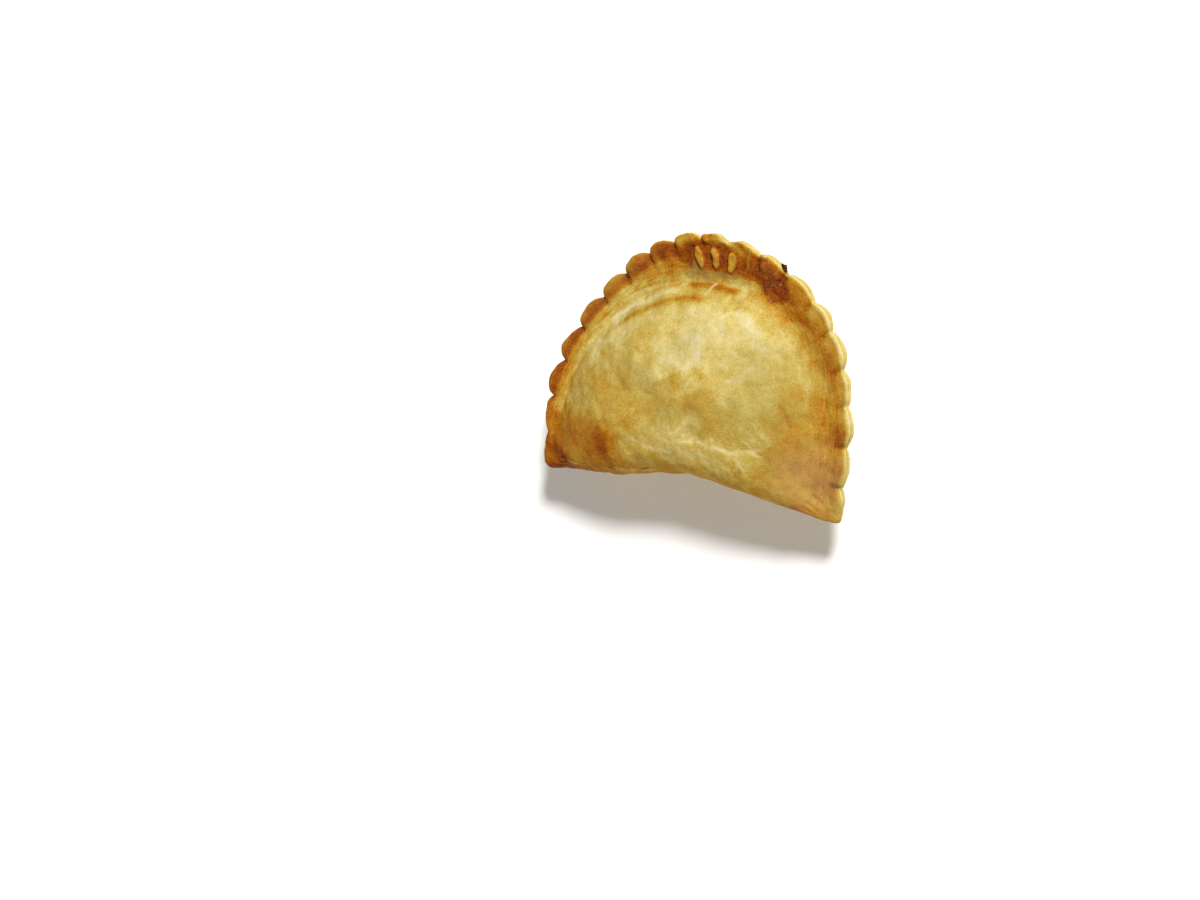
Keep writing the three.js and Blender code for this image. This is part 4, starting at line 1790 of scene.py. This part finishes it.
@dataclass(frozen=True)
class BakedDough:
    """The shared look of baked dough: its browned colour, its gloss and its fine grain.

    Sizes are in millimetres, and pairs named tones are ranges of browning. Each mottle and the freckles
    have a size and a strength.
    """

    colours: DoughColours = DoughColours()
    mottles: tuple[Pair, ...] = ((7.0, 0.19), (2.2, 0.2), (0.65, 0.5), (0.32, 0.36))
    freckles: Pair = (0.8, 0.22)
    gloss: float = 0.3
    roughness: Pair = (0.62, 0.42)
    roughness_tones: Pair = (0.1, 0.8)
    vein: float = 0.36
    vein_size: float = 9.0
    vein_warp: float = 1.2
    vein_width: float = 0.022
    vein_cloud_size: float = 18.0
    vein_clouds: Pair = (0.48, 0.62)
    vein_tones: Pair = (0.3, 0.5)
    filling_share: float = 0.55
    fine_grain: float = 0.5
    broad_grain: float = 1.75
    blister: Pair = (0.25, 1.6)
    blister_size: float = 1.7
    blister_edge: Pair = (0.05, 0.45)

    def colour_group(self) -> bpy.types.NodeTree:
        """Makes the node group from the bake's marks to the dough's colour, roughness and gloss.

        Returns:
            The group.
        """
        outputs = {"Color": "NodeSocketColor", "Roughness": "NodeSocketFloat", "Gloss": "NodeSocketFloat"}
        group = new_group("Baked colour with painted light", [mark.socket for mark in Mark], outputs)
        bench = NodeBench(group)
        marks = bench.add("NodeGroupInput").outputs
        browning = self.mottled(bench, marks["Browning"], marks["Toast"])
        through = bench.sum("MULTIPLY", marks["Filling"], self.filling_share)
        colour = bench.blend(through, self.toned(bench, browning), paint(self.colours.filling))
        parted = bench.sum("MAXIMUM", marks["Split"], self.veins(bench, marks["Browning"]))
        results = {
            "Color": bench.blend(parted, colour, paint(self.colours.parted)),
            "Roughness": bench.ranged(browning, self.roughness_tones, self.roughness),
            "Gloss": bench.sum("MULTIPLY", marks["Toast"], self.gloss),
        }
        bench.add("NodeGroupOutput", results)
        return group

    def toned(self, bench: NodeBench, browning: Socket) -> Socket:
        """The colour of browned dough.

        Args:
            bench: where the nodes go.
            browning: the socket of the browning.

        Returns:
            The socket of the colour.
        """
        ramp = bench.add("ShaderNodeValToRGB", {"Fac": browning})
        stops = ramp.color_ramp.elements
        for tone in list(Tone)[1:-1]:
            stops.new(tone.value)
        for stop, tone in zip(stops, Tone):
            stop.position = tone.value
            stop.color = self.colours.at(tone)
        return ramp.outputs["Color"]

    def mottled(self, bench: NodeBench, browning: Socket, toast: Socket) -> Socket:
        """Breaks the browning up into mottles, and into dark freckles where it is toasted.

        Args:
            bench: where the nodes go.
            browning: the socket of the browning.
            toast: the socket of the toasting.

        Returns:
            The socket of the mottled browning.
        """
        mottled = browning
        for size, strength in self.mottles:
            swing = bench.sum("MULTIPLY", bench.swing(size), strength)
            mottled = bench.sum("ADD", mottled, swing)
        size, strength = self.freckles
        freckles = bench.sum("MULTIPLY", bench.swing(size), strength)
        return bench.sum("ADD", mottled, bench.sum("MULTIPLY", freckles, toast))

    def veins(self, bench: NodeBench, browning: Socket) -> Socket:
        """Thin pale veins where the skin of the dough stretched, lost where it is brown.

        Args:
            bench: where the nodes go.
            browning: the socket of the browning.

        Returns:
            The socket of the veins' strength.
        """
        away = bench.sum("ABSOLUTE", bench.swing(self.vein_size, self.vein_warp), 0.0)
        line = bench.ranged(away, (0.0, self.vein_width), (self.vein, 0.0))
        clouds = bench.ranged(bench.noise(self.vein_cloud_size), self.vein_clouds, (0.0, 1.0))
        pale = bench.ranged(browning, self.vein_tones, (1.0, 0.0))
        return bench.sum("MULTIPLY", bench.sum("MULTIPLY", line, clouds), pale)

    def grain_group(self) -> bpy.types.NodeTree:
        """Makes the node group for the height of the dough's fine grain and small blisters.

        Returns:
            The group.
        """
        group = new_group("Dough grain", [Mark.TOAST.socket], {"Height": "NodeSocketFloat"})
        bench = NodeBench(group)
        toast = bench.add("NodeGroupInput").outputs["Toast"]
        grain = bench.sum("ADD", bench.noise(self.fine_grain), bench.noise(self.broad_grain))
        cells = bench.on_object("ShaderNodeTexVoronoi", self.blister_size).outputs["Distance"]
        blister = bench.ranged(cells, self.blister_edge, (1.0, 0.0))
        blister = bench.sum("MULTIPLY", blister, bench.ranged(toast, (0.0, 1.0), self.blister))
        bench.add("NodeGroupOutput", {"Height": bench.sum("ADD", grain, blister)})
        return group


@dataclass(frozen=True)
class CrustFinish:
    """Baked dough under an egg wash: satin, and glossy where it toasted."""

    colour: bpy.types.NodeTree
    grain: bpy.types.NodeTree
    name: str = "crust"
    bump: float = 0.7
    bump_depth: float = 0.2
    coat_roughness: float = 0.14
    specular: float = 0.02

    def material(self) -> bpy.types.Material:
        """Makes the material.

        Returns:
            The material.
        """
        material = new_material(self.name)
        bench = NodeBench(material.node_tree)
        marks = {mark.socket: bench.add("ShaderNodeAttribute", attribute_name=mark.value).outputs["Fac"]
                 for mark in Mark}
        colour = bench.add("ShaderNodeGroup", marks, node_tree=self.colour).outputs
        grain = bench.add("ShaderNodeGroup", {"Toast": marks["Toast"]}, node_tree=self.grain).outputs
        relief = {"Strength": self.bump, "Distance": self.bump_depth * MM, "Height": grain["Height"]}
        dress(material, {
            "Base Color": colour["Color"],
            "Roughness": colour["Roughness"],
            "Specular IOR Level": self.specular,
            "Coat Weight": colour["Gloss"],
            "Coat Roughness": self.coat_roughness,
            "Normal": bench.add("ShaderNodeBump", relief).outputs["Normal"],
        })
        return material


@dataclass(frozen=True)
class TableFinish:
    """A plain pale table top."""

    name: str = "table"
    colour: Colour = (0.97, 0.97, 0.97, 1.0)
    roughness: float = 0.9
    specular: float = 0.1

    def material(self) -> bpy.types.Material:
        """Makes the material.

        Returns:
            The material.
        """
        material = new_material(self.name)
        dress(material, {
            "Base Color": self.colour,
            "Roughness": self.roughness,
            "Specular IOR Level": self.specular,
        })
        return material


@dataclass(frozen=True)
class Lamp:
    """A round soft lamp that faces the pastry."""

    name: str
    heading: Triple
    power: float
    size: float
    distance: float = 4.0
    colour: Triple = (1.0, 1.0, 1.0)

    def hang(self) -> None:
        """Makes the lamp."""
        light = bpy.data.lights.new(self.name, "AREA")
        light.color = self.colour
        light.shape = "DISK"
        light.size = self.size
        light.energy = self.power
        heading = Vector(self.heading).normalized()
        lamp = put(self.name, light)
        lamp.location = heading * self.distance
        lamp.rotation_euler = heading.to_track_quat("Z", "Y").to_euler()


@dataclass(frozen=True)
class Studio:
    """The pale table, the light and the camera."""

    table_size: float = 4000.0
    aim: Triple = (-29.2, -33.1, 28.5)
    azimuth: float = 105.4
    elevation: float = 56.9
    roll: float = -97.0
    distance: float = 900.0
    lens: float = 79.5
    sensor: float = 36.0
    lamps: tuple[Lamp, ...] = (
        Lamp("key", (0.63, 0.98, 1.0), 211.0, 0.8),
        Lamp("fill", (-0.25, -0.9, 0.5), 66.0, 3.0, colour=(1.0, 0.93, 0.82)),
    )
    sky: Colour = (1.0, 0.95, 0.88, 1.0)
    sky_strength: float = 0.22

    def table(self) -> None:
        """Makes the table top."""
        half = self.table_size / 2.0
        corners = [(-half, -half, 0.0), (half, -half, 0.0), (half, half, 0.0), (-half, half, 0.0)]
        table = new_piece("table", np.array(corners), [(0, 1, 2, 3)])
        table.data.materials.append(TableFinish().material())

    def light(self) -> None:
        """Hangs the lamps and sets the even light all round."""
        world = bpy.data.worlds.new("studio")
        world.use_nodes = True
        even = world.node_tree.nodes["Background"]
        even.inputs["Color"].default_value = self.sky
        even.inputs["Strength"].default_value = self.sky_strength
        bpy.context.scene.world = world
        for lamp in self.lamps:
            lamp.hang()

    def camera(self) -> None:
        """Sets the camera where the photograph was taken from."""
        around, up = math.radians(self.azimuth), math.radians(self.elevation)
        back = Vector((math.sin(around) * math.cos(up), -math.cos(around) * math.cos(up), math.sin(up)))
        level = Vector((0.0, 0.0, 1.0)).cross(back).normalized()
        upright = back.cross(level)
        turn = math.radians(self.roll)
        right = level * math.cos(turn) + upright * math.sin(turn)
        top = back.cross(right)
        spot = (Vector(self.aim) + back * self.distance) * MM
        lens = bpy.data.cameras.new("camera")
        lens.lens = self.lens
        lens.sensor_width = self.sensor
        camera = put("camera", lens)
        camera.matrix_world = Matrix.Translation(spot) @ Matrix((right, top, back)).transposed().to_4x4()
        bpy.context.scene.camera = camera


def main() -> None:
    """Builds the pastry and the studio around it."""
    logging.basicConfig(level=logging.INFO, format="%(name)s: %(message)s")
    bpy.context.scene.view_settings.view_transform = "Standard"
    studio = Studio()
    studio.camera()
    studio.table()
    studio.light()
    dough = BakedDough()
    finish = CrustFinish(dough.colour_group(), dough.grain_group()).material()
    pastry = Crust()
    crust = pastry.build()
    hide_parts(NODE)
    for piece in (crust, Flakes().build(pastry), CharredBit().build(pastry)):
        piece.data.materials.append(finish)
        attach(piece, BODY)
        log.info("%s: %d points", piece.name, len(piece.data.vertices))


if __name__ == "__main__":
    main()
